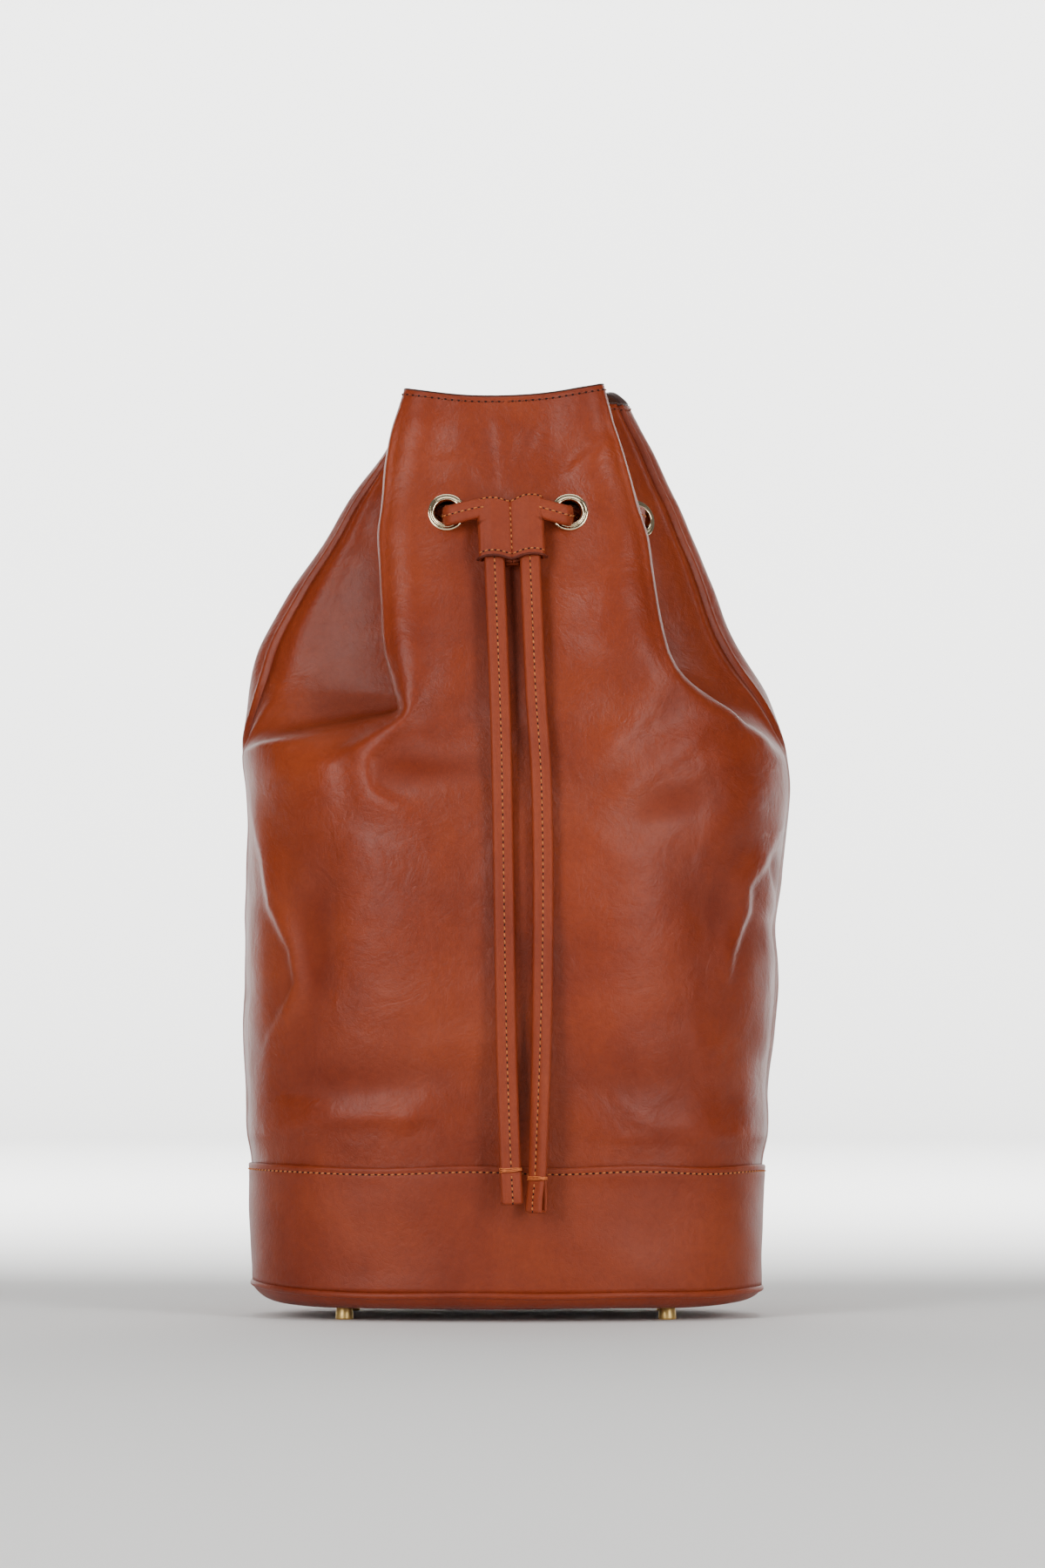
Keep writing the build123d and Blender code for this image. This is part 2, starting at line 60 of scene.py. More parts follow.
# Heights at which each guide point starts and ends being drawn into its pleat, right then left
GATHER_RIGHT = ((0.262, 0.335), (0.285, 0.328), (0.284, 0.325), (0.289, 0.323), (0.281, 0.320),
                (0.271, 0.320), (0.262, 0.328)) + ((0.262, 0.335),) * 4
GATHER_LEFT = ((0.262, 0.330), (0.262, 0.296), (0.262, 0.296), (0.279, 0.298), (0.279, 0.302),
               (0.276, 0.308), (0.268, 0.322)) + ((0.262, 0.335),) * 4

# Guide points round the bag: angle on the open outline, then the gathered place as shares of
# (ridge half width, side half width, front depth, back depth)
GUIDES = ((-72.0, (0.475, 0.00, 1.00, 0.00)), (-56.0, (0.92, 0.00, 0.995, 0.00)),
          (-46.0, (1.00, 0.00, 0.91, 0.00)), (-36.0, (0.93, 0.00, 0.62, 0.00)),
          (-25.0, (0.80, 0.00, 0.37, 0.00)), (-14.0, (0.50, 0.38, 0.16, 0.00)),
          (-2.0, (0.00, 0.93, 0.00, 0.06)), (10.0, (0.00, 1.00, 0.00, 0.24)),
          (26.0, (0.00, 0.93, 0.00, 0.52)), (47.0, (0.00, 0.76, 0.00, 0.88)),
          (68.0, (0.00, 0.42, 0.00, 0.99)))
LEFT_FOLD = 5                  # on the left this guide point lies deeper in the pleat
LEFT_FOLD_PLACE = (0.64, 0.19, 0.22, 0.00)
ROUNDNESS = 2.5               # exponent of the rounded oblong outline
RING_POINTS = 24

BODY_LOW = 0.066
BODY_TOP = 0.453
LEATHER = 0.0018
BASE_HALF_WIDTH = 0.127
BASE_HALF_DEPTH = 0.087
BAND_LOW = 0.014
BAND_TOP = 0.075
BAND_TAPER = 0.0015
EYELET_Z = 0.392
EYELET_HOLE = 0.0059
EYELET_OUTER = 0.0095
STRAP_WIDTH = 0.010
STRAP_THICK = 0.004
STITCH_PITCH = 0.0033
STRAP_STAND = 0.0069
SEAM_SHARE = 7.0
FACING_LOW = 0.366
FACING = 0.0012
LINING = 0.0008
BOARD_TOP = 0.017
PUNCH_RADIUS = 0.0074         # holes in the leather under the eyelets
MOUTH_STITCH_DROP = 0.0028    # from the mouth's edge down to its stitches
BAND_STITCH_DROP = 0.0032     # from the band's top down to its stitches
WELT_RADIUS, WELT_INSET, WELT_HEIGHT = 0.0017, 0.0023, 0.0128
LINING_INSET = 0.0046         # from the base's outline in to the lining
NECK_WIDTH, NECK_THICK = 0.0088, 0.0030
TACK_THREAD = 0.00030         # radius of the thread wound round the tips
HOLE_RISE = 0.00012           # how far an awl hole's bead stands out
FOOT_RADIUS, FOOT_TOP = 0.0044, 0.0068
KEEPER_HEIGHT = 0.031
KEEPER_OPEN = 0.013            # down from the top, where the sleeve has only its front
SLEEVE_HALF = 0.0162           # half its width
SLEEVE_FRONT = 0.0192          # along its outline from the front's middle to the cut edge
SLEEVE_ROW = 0.0185            # and to the last stitch
SLEEVE_ROUND = 0.0022          # round of its sides
KEEPER_PITCH = 0.0029
RING_STAND = 0.00315           # ring bar's axis above the back of its tab
TAB_WIDTH = 0.014
TAB_WALL = 0.0014
TABS = {"top": (0.0, 0.322, False), "left": (-0.062, 0.044, True), "right": (0.062, 0.044, True)}
FOOT_X, FOOT_Y = 0.0785, 0.046


# ---------------------------------------------------------------- camera and light

def aim(obj, target):
    """Turn an object so that its -Z axis points at a target."""
    direction = Vector(target) - obj.location
    obj.rotation_euler = direction.to_track_quat("-Z", "Y").to_euler()


def place_camera():
    """A long lens level with the band and turned up a little, very slightly to the bag's right."""
    target = Vector((0.0076, 0.0, 0.2617))
    distance, azimuth, elevation = 3.4, math.radians(0.65), math.radians(-1.7)
    data = bpy.data.cameras.new("camera")
    camera = bpy.data.objects.new("camera", data)
    bpy.context.scene.collection.objects.link(camera)
    offset = Vector((math.sin(azimuth) * math.cos(elevation), -math.cos(azimuth) * math.cos(elevation),
                     math.sin(elevation)))
    camera.location = target + offset * distance
    aim(camera, target)
    frame_height = 0.7747
    data.sensor_fit = "VERTICAL"
    data.sensor_height = 24.0
    data.lens = data.sensor_height * distance / frame_height
    data.clip_end = 60.0
    bpy.context.scene.camera = camera


def area_light(name, place, target, size, power, colour=(1.0, 1.0, 1.0)):
    """A soft rectangular studio light."""
    data = bpy.data.lights.new(name, "AREA")
    data.shape = "RECTANGLE"
    data.size, data.size_y = size
    data.energy = power
    data.color = colour
    light = bpy.data.objects.new(name, data)
    bpy.context.scene.collection.objects.link(light)
    light.location = place
    aim(light, target)


def light_studio():
    """Two large front boxes, a top box, two lamps turned to the backdrop and a dim even surround."""
    middle = (0.0, 0.0, 0.24)
    area_light("key_left", (-1.30, -2.1, 1.00), middle, (0.8, 1.6), 44.0, (1.0, 0.985, 0.97))
    area_light("key_right", (1.45, -2.0, 0.90), middle, (0.7, 1.6), 37.0, (1.0, 0.985, 0.97))
    area_light("top", (0.0, -0.5, 2.4), middle, (1.8, 1.2), 17.0)
    for side in (-1, 1):
        area_light("backdrop_" + ("left" if side < 0 else "right"), (2.2 * side, 1.0, 1.6),
                   (1.4 * side, 5.4, 0.8), (1.6, 1.2), 560.0)
    world = bpy.data.worlds.new("studio")
    world.use_nodes = True
    background = world.node_tree.nodes["Background"]
    background.inputs["Color"].default_value = (0.95, 0.95, 0.94, 1.0)
    background.inputs["Strength"].default_value = 0.16
    bpy.context.scene.world = world


def paper_material():
    """Plain pale studio paper."""
    mat, _, _, shader = material("studio_paper")
    shader.inputs["Base Color"].default_value = (0.80, 0.80, 0.79, 1.0)
    shader.inputs["Roughness"].default_value = 0.9
    return mat


def studio_floor():
    """A plain pale floor that curves up far behind into a plain wall: a profile carried sideways."""
    depth, radius, height = 4.0, 1.5, 6.0
    turn = np.linspace(0.0, math.pi / 2, 24)
    y = np.concatenate(([-6.0], depth + radius * np.sin(turn), [depth + radius]))
    z = np.concatenate(([0.0], radius * (1 - np.cos(turn)), [height]))
    x = np.linspace(-9.0, 9.0, 3)
    grid = np.stack(np.broadcast_arrays(x[None, :], y[:, None], z[:, None]), axis=-1)
    floor = grid_piece("studio_floor", grid)
    floor.data.materials.append(paper_material())


# ---------------------------------------------------------------- mesh helpers

def mesh_piece(name, points, faces, smooth=True):
    """A mesh object from arrays of points and equal-sided faces."""
    mesh = bpy.data.meshes.new(name)
    faces = np.asarray(faces)
    sides = faces.shape[1]
    mesh.vertices.add(len(points))
    mesh.vertices.foreach_set("co", np.asarray(points, dtype=np.float32).ravel())
    mesh.loops.add(faces.size)
    mesh.loops.foreach_set("vertex_index", faces.ravel().astype(np.int32))
    mesh.polygons.add(len(faces))
    mesh.polygons.foreach_set("loop_start", np.arange(0, faces.size, sides, dtype=np.int32))
    mesh.update(calc_edges=True)
    mesh.validate()
    mesh.polygons.foreach_set("use_smooth", np.full(len(mesh.polygons), smooth))
    obj = bpy.data.objects.new(name, mesh)
    bpy.context.scene.collection.objects.link(obj)
    return obj


def grid_faces(rows, columns, wrap_rows=False, wrap_columns=False):
    """Quads of a grid of rows by columns points, joined end to end where it wraps."""
    r = np.arange(rows if wrap_rows else rows - 1)
    c = np.arange(columns if wrap_columns else columns - 1)
    r, c = np.meshgrid(r, c, indexing="ij")
    r2, c2 = (r + 1) % rows, (c + 1) % columns
    corners = [r * columns + c, r * columns + c2, r2 * columns + c2, r2 * columns + c]
    return np.stack(corners, axis=-1).reshape(-1, 4)


def grid_piece(name, grid, wrap_rows=False, wrap_columns=False):
    """A surface from a grid of points."""
    rows, columns = grid.shape[:2]
    return mesh_piece(name, grid.reshape(-1, 3), grid_faces(rows, columns, wrap_rows, wrap_columns))


def unit(vectors):
    """Vectors of length one."""
    return vectors / np.maximum(np.linalg.norm(vectors, axis=-1, keepdims=True), 1e-12)


def swept_grid(path, outward, profile, closed=False):
    """A closed profile carried along a path: each profile point (a, b) lies a along outward and b along
    the third direction, tangent cross outward. Rows follow the path, columns the profile."""
    if closed:
        tangent = np.roll(path, -1, axis=0) - np.roll(path, 1, axis=0)
    else:
        tangent = np.gradient(path, axis=0)
    tangent = unit(tangent)
    outward = unit(outward - tangent * np.sum(outward * tangent, axis=-1, keepdims=True))
    third = np.cross(tangent, outward)
    profile = np.asarray(profile)
    if profile.ndim == 2:
        profile = np.broadcast_to(profile, (len(path),) + profile.shape)
    return path[:, None] + profile[..., :1] * outward[:, None] + profile[..., 1:] * third[:, None]


def tube_shell(grid):
    """Points and quads of a tube whose ends are drawn in to a point."""
    ends = []
    for ring in (grid[:1], grid[-1:]):
        middle = ring.mean(axis=1, keepdims=True)
        ends.append(middle + (ring - middle) * 0.002)
    grid = np.concatenate([ends[0], grid, ends[1]])
    return grid.reshape(-1, 3), grid_faces(*grid.shape[:2], wrap_columns=True)[:, ::-1]


def hoop_shell(grid):
    """Points and quads of a tube joined end to end."""
    return grid.reshape(-1, 3), grid_faces(*grid.shape[:2], True, True)[:, ::-1]


def full_turn(count):
    """Evenly spaced angles once round, in radians."""
    return np.linspace(0, 2 * math.pi, count, endpoint=False)


def reach_along(line):
    """Distance along a chain of points from its start, at each point."""
    return np.concatenate(([0.0], np.cumsum(np.linalg.norm(np.diff(line, axis=0), axis=1))))


def sampled(values, reach, at):
    """Rows of values given along a line at distances reach, read between them at other distances."""
    return np.stack([np.interp(at, reach, values[:, k]) for k in range(3)], axis=-1)


# ---------------------------------------------------------------- form of the leather

def along(table, height):
    """A cubic through a height table, its slopes the mean of the neighbouring chords' slopes."""
    z, v = np.array(table).T
    chord = np.diff(v) / np.diff(z)
    slope = np.concatenate(([chord[0]], (chord[1:] + chord[:-1]) / 2, [chord[-1]]))
    height = np.asarray(height, dtype=float)
    i = np.clip(np.searchsorted(z, height, side="right") - 1, 0, len(z) - 2)
    span = z[i + 1] - z[i]
    t = (height - z[i]) / span
    return (v[i] * (1 + 2 * t) * (1 - t) ** 2 + v[i + 1] * t * t * (3 - 2 * t)
            + slope[i] * span * t * (1 - t) ** 2 - slope[i + 1] * span * t * t * (1 - t))


def smooth_step(value, low, high):
    """0 below low, 1 above high, an S curve between."""
    t = np.clip((value - low) / (high - low), 0.0, 1.0)
    return t * t * (3 - 2 * t)


def oblong(angle, half_width, half_depth):
    """Points of the superellipse at angles in degrees: signed powers of cosine and sine."""
    c, s = np.cos(np.radians(angle)), np.sin(np.radians(angle))
    power = 2 / ROUNDNESS
    return half_width * np.sign(c) * np.abs(c) ** power, half_depth * np.sign(s) * np.abs(s) ** power


# How far each side bulges beyond the smooth form: (height, metres), joined smoothly
BULGE_RIGHT = ((0.066, 0.0), (0.078, 0.0004), (0.090, 0.0026), (0.111, 0.0012), (0.140, 0.0028),
               (0.172, 0.0032), (0.192, 0.0012), (0.215, 0.0042), (0.255, 0.0068), (0.280, 0.0060),
               (0.305, 0.0030), (0.330, -0.0020), (0.352, -0.0006), (0.380, 0.0038), (0.405, 0.0070),
               (0.428, 0.0080), (0.453, 0.0035))
BULGE_LEFT = ((0.066, 0.0), (0.078, 0.0004), (0.090, 0.0026), (0.118, 0.0024), (0.150, 0.0009),
              (0.180, -0.0014), (0.215, -0.0020), (0.252, -0.0032), (0.279, -0.0004), (0.300, 0.0024),
              (0.334, 0.0070), (0.356, 0.0050), (0.382, 0.0026), (0.408, 0.0004), (0.428, -0.0036),
              (0.453, -0.0080))


def guide_rings(height):
    """Guide points at each height, shape (heights, 24, 2): front middle, right side, back middle, left."""
    height = np.asarray(height, dtype=float)
    side, front, back = along(SIDE_HALF, height), along(FRONT_DEPTH, height), along(BACK_DEPTH, height)
    halves = []
    for sign, table, gather, bulge in ((1, RIDGE_RIGHT, GATHER_RIGHT, BULGE_RIGHT),
                                       (-1, RIDGE_LEFT, GATHER_LEFT, BULGE_LEFT)):
        ridge = along(table, height)
        wide = side + along(bulge, height)
        points = []
        for i, ((angle, place), (low, full)) in enumerate(zip(GUIDES, gather)):
            if sign < 0 and i == LEFT_FOLD:
                place = LEFT_FOLD_PLACE
            by_ridge, by_side, by_front, by_back = place
            pull = smooth_step(height, low, full)
            x_open, y_open = oblong(angle, wide, front if angle < 0 else back)
            pleated = by_ridge * ridge + by_side * (side + by_side * (wide - side))
            x = x_open + pull * (pleated - x_open)
            y = y_open + pull * (by_back * back - by_front * front - y_open)
            points.append(np.stack([sign * x, y], axis=-1))
        halves.append(points)
    nil = np.zeros_like(front)
    ring = [np.stack([nil, -front], axis=-1)] + halves[0] + [np.stack([nil, back], axis=-1)] + halves[1][::-1]
    return np.stack(ring, axis=1)


def closed_spline(points, share):
    """Periodic cubic spline through rings of points, chord lengths as knots; share counts points."""
    count = points.shape[1]
    after = np.roll(points, -1, axis=1)
    gap = np.linalg.norm(after - points, axis=-1)
    gap_before = np.roll(gap, 1, axis=1)
    system = np.zeros((len(points), count, count))
    row = np.arange(count)
    system[:, row, row - 1] = gap
    system[:, row, row] = 2 * (gap + gap_before)
    system[:, row, (row + 1) % count] = gap_before
    before = np.roll(points, 1, axis=1)
    right = 3 * ((gap / gap_before)[..., None] * (points - before)
                 + (gap_before / gap)[..., None] * (after - points))
    slope = np.linalg.solve(system, right)
    i = np.floor(share).astype(int) % count
    t = (share - np.floor(share))[None, :, None]
    j = (i + 1) % count
    h = gap[:, i, None]
    return (points[:, i] * (1 + 2 * t) * (1 - t) ** 2 + points[:, j] * t * t * (3 - 2 * t)
            + slope[:, i] * h * t * (1 - t) ** 2 - slope[:, j] * h * t * t * (1 - t))


def form(share, height):
    """Smooth outside of the bag, a grid of heights by shares, as points."""
    plan = closed_spline(guide_rings(height), share)
    z = np.broadcast_to(np.asarray(height)[:, None, None], plan.shape[:2] + (1,))
    return np.concatenate([plan, z], axis=-1)


def grid_normals(grid):
    """Outward normals of an open grid, rows upwards and columns anticlockwise from above."""
    return unit(np.cross(np.gradient(grid, axis=1), np.gradient(grid, axis=0)))


def eyelet_place(index):
    """Middle and outward normal of the leather at a guide point of the eyelets' height."""
    step = 0.003
    rings = guide_rings([EYELET_Z - step, EYELET_Z, EYELET_Z + step])
    here = np.append(rings[1, index], EYELET_Z)
    across = np.append(rings[1, (index + 1) % RING_POINTS] - rings[1, index - 1], 0.0)
    up = np.append(rings[2, index] - rings[0, index], 2 * step)
    return here, unit(np.cross(across, up))


EYELETS = {"front_right": 1, "pleat_right_front": 4, "pleat_right_back": 6, "back_right": 11,
           "back_left": 13, "pleat_left_back": 18, "pleat_left_front": 20, "front_left": 23}


def tab_frame(x, z, upright):
    """Frame of a ring tab on the back: origin, across, up and outward."""
    if upright:
        share = abs(x) / BASE_HALF_WIDTH
        depth = BASE_HALF_DEPTH * (1 - share ** ROUNDNESS) ** (1 / ROUNDNESS)
        slope = math.copysign(BASE_HALF_DEPTH * share ** (ROUNDNESS - 1) / BASE_HALF_WIDTH, x)
        outward = unit(np.array([slope, 1.0, 0.0]))
        origin = np.array([x, depth, z])
    else:
        low, high = along(BACK_DEPTH, [z - 0.015, z + 0.015])
        outward = unit(np.array([0.0, 1.0, (low - high) / 0.030]))
        origin = np.array([x, float(along(BACK_DEPTH, [z])[0]), z])
    up = unit(np.array([0.0, 0.0, 1.0]) - outward * outward[2])
    return origin + outward * 0.0005, np.cross(up, outward), up, outward


# ---------------------------------------------------------------- creases and dents

# Creases on the front: (points (x, z), steep half width, gentle half width, height, steep side). Ridges
# are positive; the steep side is 1 on the left of the way the points run and -1 on the right.
CREASES = (
    (((-0.0478, 0.2905), (-0.0584, 0.2807), (-0.0655, 0.2735), (-0.0667, 0.2640), (-0.0638, 0.2555),
      (-0.0553, 0.2500), (-0.0446, 0.2467)), 0.0034, 0.0090, 0.0030, 1),
    (((-0.0600, 0.2705), (-0.0350, 0.2665), (-0.0050, 0.2680)), 0.0070, 0.0070, -0.0018, 1),
    (((-0.1240, 0.2500), (-0.1169, 0.2245), (-0.1137, 0.2010), (-0.1040, 0.1800), (-0.1015, 0.1630),
      (-0.1073, 0.1500), (-0.1170, 0.1310)), 0.0026, 0.0070, 0.0024, -1),
    (((0.1355, 0.2430), (0.1256, 0.2228), (0.1170, 0.2104), (0.1170, 0.1980), (0.1095, 0.1780),
      (0.1070, 0.1630)), 0.0028, 0.0070, 0.0024, 1),
    (((0.1270, 0.2228), (0.1300, 0.2030), (0.1330, 0.1930)), 0.0024, 0.0050, 0.0016, 1),
    (((0.0785, 0.3110), (0.0648, 0.2890), (0.0475, 0.2715), (0.0300, 0.2640)), 0.0050, 0.0120, 0.0016, 1),
    (((0.1000, 0.2880), (0.0800, 0.2720), (0.0605, 0.2580), (0.0520, 0.2490)), 0.0050, 0.0100, 0.0015, 1),
    (((0.1280, 0.2680), (0.1000, 0.2575), (0.0780, 0.2500), (0.0600, 0.2425)), 0.0090, 0.0090, -0.0012, 1),
    (((0.0470, 0.0890), (0.0800, 0.0880), (0.1270, 0.0885)), 0.0024, 0.0050, 0.0010, -1),
    (((0.0600, 0.0975), (0.0750, 0.0935), (0.1000, 0.0945)), 0.0030, 0.0060, 0.0010, -1),
    (((-0.1200, 0.0895), (-0.0950, 0.0960), (-0.0700, 0.0985), (-0.0360, 0.0995)),
     0.0040, 0.0090, 0.0014, -1),
    (((-0.0400, 0.1010), (-0.0520, 0.0920)), 0.0030, 0.0060, 0.0010, 1),
    (((-0.1180, 0.1020), (-0.1000, 0.1060), (-0.0750, 0.1020)), 0.0030, 0.0060, 0.0007, 1),
    (((0.0048, 0.4016), (0.0150, 0.4180), (0.0235, 0.4350)), 0.0045, 0.0110, 0.0030, 1),
    (((0.0235, 0.4040), (0.0453, 0.4220), (0.0540, 0.4300)), 0.0045, 0.0110, 0.0026, 1),
    (((0.0005, 0.4030), (-0.0010, 0.4250), (-0.0010, 0.4500)), 0.0050, 0.0100, 0.0020, 1),
    (((-0.0100, 0.4020), (-0.0160, 0.4250), (-0.0200, 0.4450)), 0.0040, 0.0070, 0.0009, 1),
    (((-0.0520, 0.4200), (-0.0300, 0.4170), (-0.0120, 0.4185)), 0.0030, 0.0050, 0.0006, 1),
    (((-0.0786, 0.3920), (-0.0977, 0.3625), (-0.1126, 0.3350), (-0.1190, 0.3137)), 0.0020, 0.0060, 0.0010, 1),
    (((0.1120, 0.3055), (0.1240, 0.3005), (0.1310, 0.2930)), 0.0020, 0.0040, 0.0009, 1),
    (((0.1080, 0.2980), (0.1200, 0.2930), (0.1300, 0.2855)), 0.0020, 0.0040, 0.0009, 1),
    (((0.0900, 0.3480), (0.1010, 0.3300), (0.1150, 0.3180)), 0.0030, 0.0060, 0.0012, -1),
    (((-0.0900, 0.2960), (-0.0720, 0.2960), (-0.0580, 0.2890)), 0.0030, 0.0060, 0.0010, 1),
    (((-0.0980, 0.2790), (-0.0850, 0.2670), (-0.0830, 0.2500)), 0.0040, 0.0090, 0.0010, 1),
    (((-0.0760, 0.2360), (-0.0640, 0.2280), (-0.0560, 0.2140)), 0.0040, 0.0090, 0.0008, 1),
    (((0.0420, 0.2360), (0.0560, 0.2250), (0.0700, 0.2230)), 0.0040, 0.0080, 0.0008, 1),
    (((0.0900, 0.1400), (0.0960, 0.1240), (0.1080, 0.1130)), 0.0040, 0.0080, 0.0009, -1),
    (((-0.0300, 0.3350), (-0.0200, 0.3200), (-0.0220, 0.2950)), 0.0050, 0.0100, 0.0007, 1),
    (((-0.0560, 0.3420), (-0.0420, 0.3400), (-0.0250, 0.3430)), 0.0030, 0.0060, 0.0004, 1),
)

# Broad hollows and swellings on the front: (x, z, half width, half height, turn in degrees, depth)
DENTS = (
    (-0.062, 0.205, 0.030, 0.050, 4.0, 0.0018),
    (0.062, 0.172, 0.030, 0.050, -6.0, 0.0022),
    (0.040, 0.224, 0.026, 0.024, 0.0, 0.0012),
    (-0.016, 0.190, 0.016, 0.090, 0.0, -0.0006),
    (0.031, 0.150, 0.014, 0.070, 0.0, -0.0005),
    (0.008, 0.190, 0.028, 0.090, 0.0, 0.0014),
    (-0.092, 0.185, 0.013, 0.045, -8.0, -0.0024),
    (0.096, 0.196, 0.015, 0.040, 8.0, -0.0018),
    (0.076, 0.245, 0.022, 0.012, 20.0, -0.0012),
    (-0.072, 0.118, 0.040, 0.012, 0.0, -0.0016),
    (0.064, 0.112, 0.034, 0.012, 0.0, -0.0012),
    (-0.094, 0.262, 0.018, 0.014, 0.0, 0.0014),
    (0.046, 0.340, 0.016, 0.040, -6.0, 0.0012),
    (-0.040, 0.345, 0.014, 0.040, 4.0, 0.0012),
    (0.004, 0.330, 0.018, 0.050, 0.0, -0.0014),
    (-0.036, 0.432, 0.016, 0.018, 0.0, 0.0022),
)


def line_distance(x, z, points):
    """Signed distance to a chain of straight runs, positive on its left, and the share of the chain's
    length at the nearest point."""
    points = np.array(points)
    runs = np.linalg.norm(np.diff(points, axis=0), axis=1)
    reach = np.concatenate(([0.0], np.cumsum(runs))) / runs.sum()
    best = np.full(x.shape, np.inf)
    side = np.zeros(x.shape)
    share = np.zeros(x.shape)
    for (x0, z0), (x1, z1), s0, s1 in zip(points[:-1], points[1:], reach[:-1], reach[1:]):
        dx, dz = x1 - x0, z1 - z0
        t = np.clip(((x - x0) * dx + (z - z0) * dz) / (dx * dx + dz * dz), 0.0, 1.0)
        away = np.hypot(x - x0 - t * dx, z - z0 - t * dz)
        nearer = away < best
        best = np.where(nearer, away, best)
        side = np.where(nearer, np.sign(dx * (z - z0) - dz * (x - x0)), side)
        share = np.where(nearer, s0 + t * (s1 - s0), share)
    return best * side, share


def crease_height(x, z, points, steep, gentle, height, side):
    """A crease: a bell across the chain, narrow on its steep side and wide on the other, less a lower
    wide bell, fading to both ends."""
    away, share = line_distance(x, z, points)
    fade = np.sin(math.pi * np.clip(share * 0.94 + 0.03, 0.0, 1.0)) ** 0.6
    width = np.where(away * side > 0, steep, gentle)
    return height * fade * (np.exp(-(away / width) ** 2) - 0.35 * np.exp(-(away / (1.8 * gentle)) ** 2))


def slack(points, seed, wave, height):
    """Gentle unevenness: the mean of twelve plane waves in seeded directions and phases."""
    draw = np.random.default_rng(seed)
    total = np.zeros(points.shape[:-1])
    for _ in range(12):
        direction = unit(draw.normal(size=3))
        phase = draw.uniform(0, 2 * math.pi)
        total += np.sin(points @ direction * (2 * math.pi / (wave * draw.uniform(0.7, 1.6))) + phase)
    return height * total / math.sqrt(12)


def relief(points, share):
    """How far the leather stands out from the smooth form, in metres, over a grid of points."""
    x, y, z = points[..., 0], points[..., 1], points[..., 2]
    total = (slack(points, 3, 0.085, 0.00060) + slack(points, 8, 0.034, 0.00024)
             + slack(points, 5, 0.013, 0.00005))
    front = smooth_step(-y, 0.0, 0.030)
    shaped = np.zeros(x.shape)
    for crease in CREASES:
        shaped += crease_height(x, z, *crease)
    for cx, cz, half_x, half_z, turn, depth in DENTS:
        c, s = math.cos(math.radians(turn)), math.sin(math.radians(turn))
        u, v = (x - cx) * c + (z - cz) * s, (z - cz) * c - (x - cx) * s
        shaped += depth * np.exp(-(u / half_x) ** 2 - (v / half_z) ** 2)
    total += front * shaped
    back = smooth_step(y, 0.0, 0.030)
    for crease in CREASES[:1] + CREASES[2:7] + CREASES[8:13] + CREASES[23:27]:
        total += back * 0.8 * crease_height(-x, z + 0.006, *crease)
    ring = np.abs((share + RING_POINTS / 2) % RING_POINTS - RING_POINTS / 2)
    crest = 0.0010 * np.exp(-((ring - 2.75) / 0.32) ** 2) - 0.0020 * np.exp(-((ring - 4.9) / 0.7) ** 2)
    total += crest * smooth_step(z, 0.300, 0.330)
    calm = smooth_step(z, 0.076, 0.092) * (1 - 0.7 * smooth_step(z, 0.430, 0.453))
    for index in EYELETS.values():
        place, _ = eyelet_place(index)
        away = np.linalg.norm(points - place, axis=-1)
        calm = calm * smooth_step(away, 0.0100, 0.0200)
    tab_origin, _, _, _ = tab_frame(*TABS["top"])
    away = np.linalg.norm(points - (tab_origin + np.array([0.0, 0.0, 0.006])), axis=-1)
    calm = calm * smooth_step(away, 0.020, 0.036)
    total = total * calm
    under_keeper = front * (1 - smooth_step(np.abs(x - 0.003), 0.018, 0.030)) * smooth_step(z, 0.290, 0.306)
    total = np.where(total > 0, total * (1 - 0.85 * under_keeper), total)
    seam = np.minimum(np.abs(share - SEAM_SHARE), np.abs(share - (RING_POINTS - SEAM_SHARE)))
    seam = np.minimum(seam, np.abs(share + SEAM_SHARE)) * 0.016
    return total - 0.0011 * np.exp(-(seam / 0.0016) ** 2) + 0.0008 * np.exp(-((seam - 0.0032) / 0.0011) ** 2)


def pleat_depth(points, share):
    """How deep in a pleat a place of the leather lies, 0 to 1; it lowers the fold value so that the pleats
    get painted shade.
    """
    ring = np.abs((share + RING_POINTS / 2) % RING_POINTS - RING_POINTS / 2)
    return np.exp(-((ring - 4.7) / 1.0) ** 2) * smooth_step(points[..., 2], 0.285, 0.320)


def mouth_height(points):
    """How far the mouth's edge is moved up or down: a shallow sag across the front, higher on the right,
    low at the sides, and a sag across the back that rises to its corners."""
    x, y = points[..., 0], points[..., 1]
    front = smooth_step(-y, 0.018, 0.036)
    back = smooth_step(y, 0.008, 0.030)
    off = np.minimum(np.abs(x), 0.05) ** 2
    return (front * (-0.0030 + 2.1 * off + 0.028 * x) + back * (-0.0010 + 2.4 * off)
            - (1 - front) * (1 - back) * 0.0030)


def leather_grid(first, last, per_gap, rows, inset=0.0, low=BODY_LOW, top=BODY_TOP):
    """The leather's outside between two shares: the smooth form, moved along its normals by the relief."""
    share = np.linspace(first, last, int((last - first) * per_gap) + 1)
    height = np.linspace(low, top, rows)
    smooth = form(share, height)
    wide = form(np.concatenate(([first - 0.02], share, [last + 0.02])), height)
    normals = grid_normals(wide)[:, 1:-1]
    grid = smooth + normals * (relief(smooth, share) - inset)[..., None]
    rise = smooth_step(smooth[..., 2], 0.425, BODY_TOP)
    grid[..., 2] += rise * mouth_height(smooth)
    return grid, normals


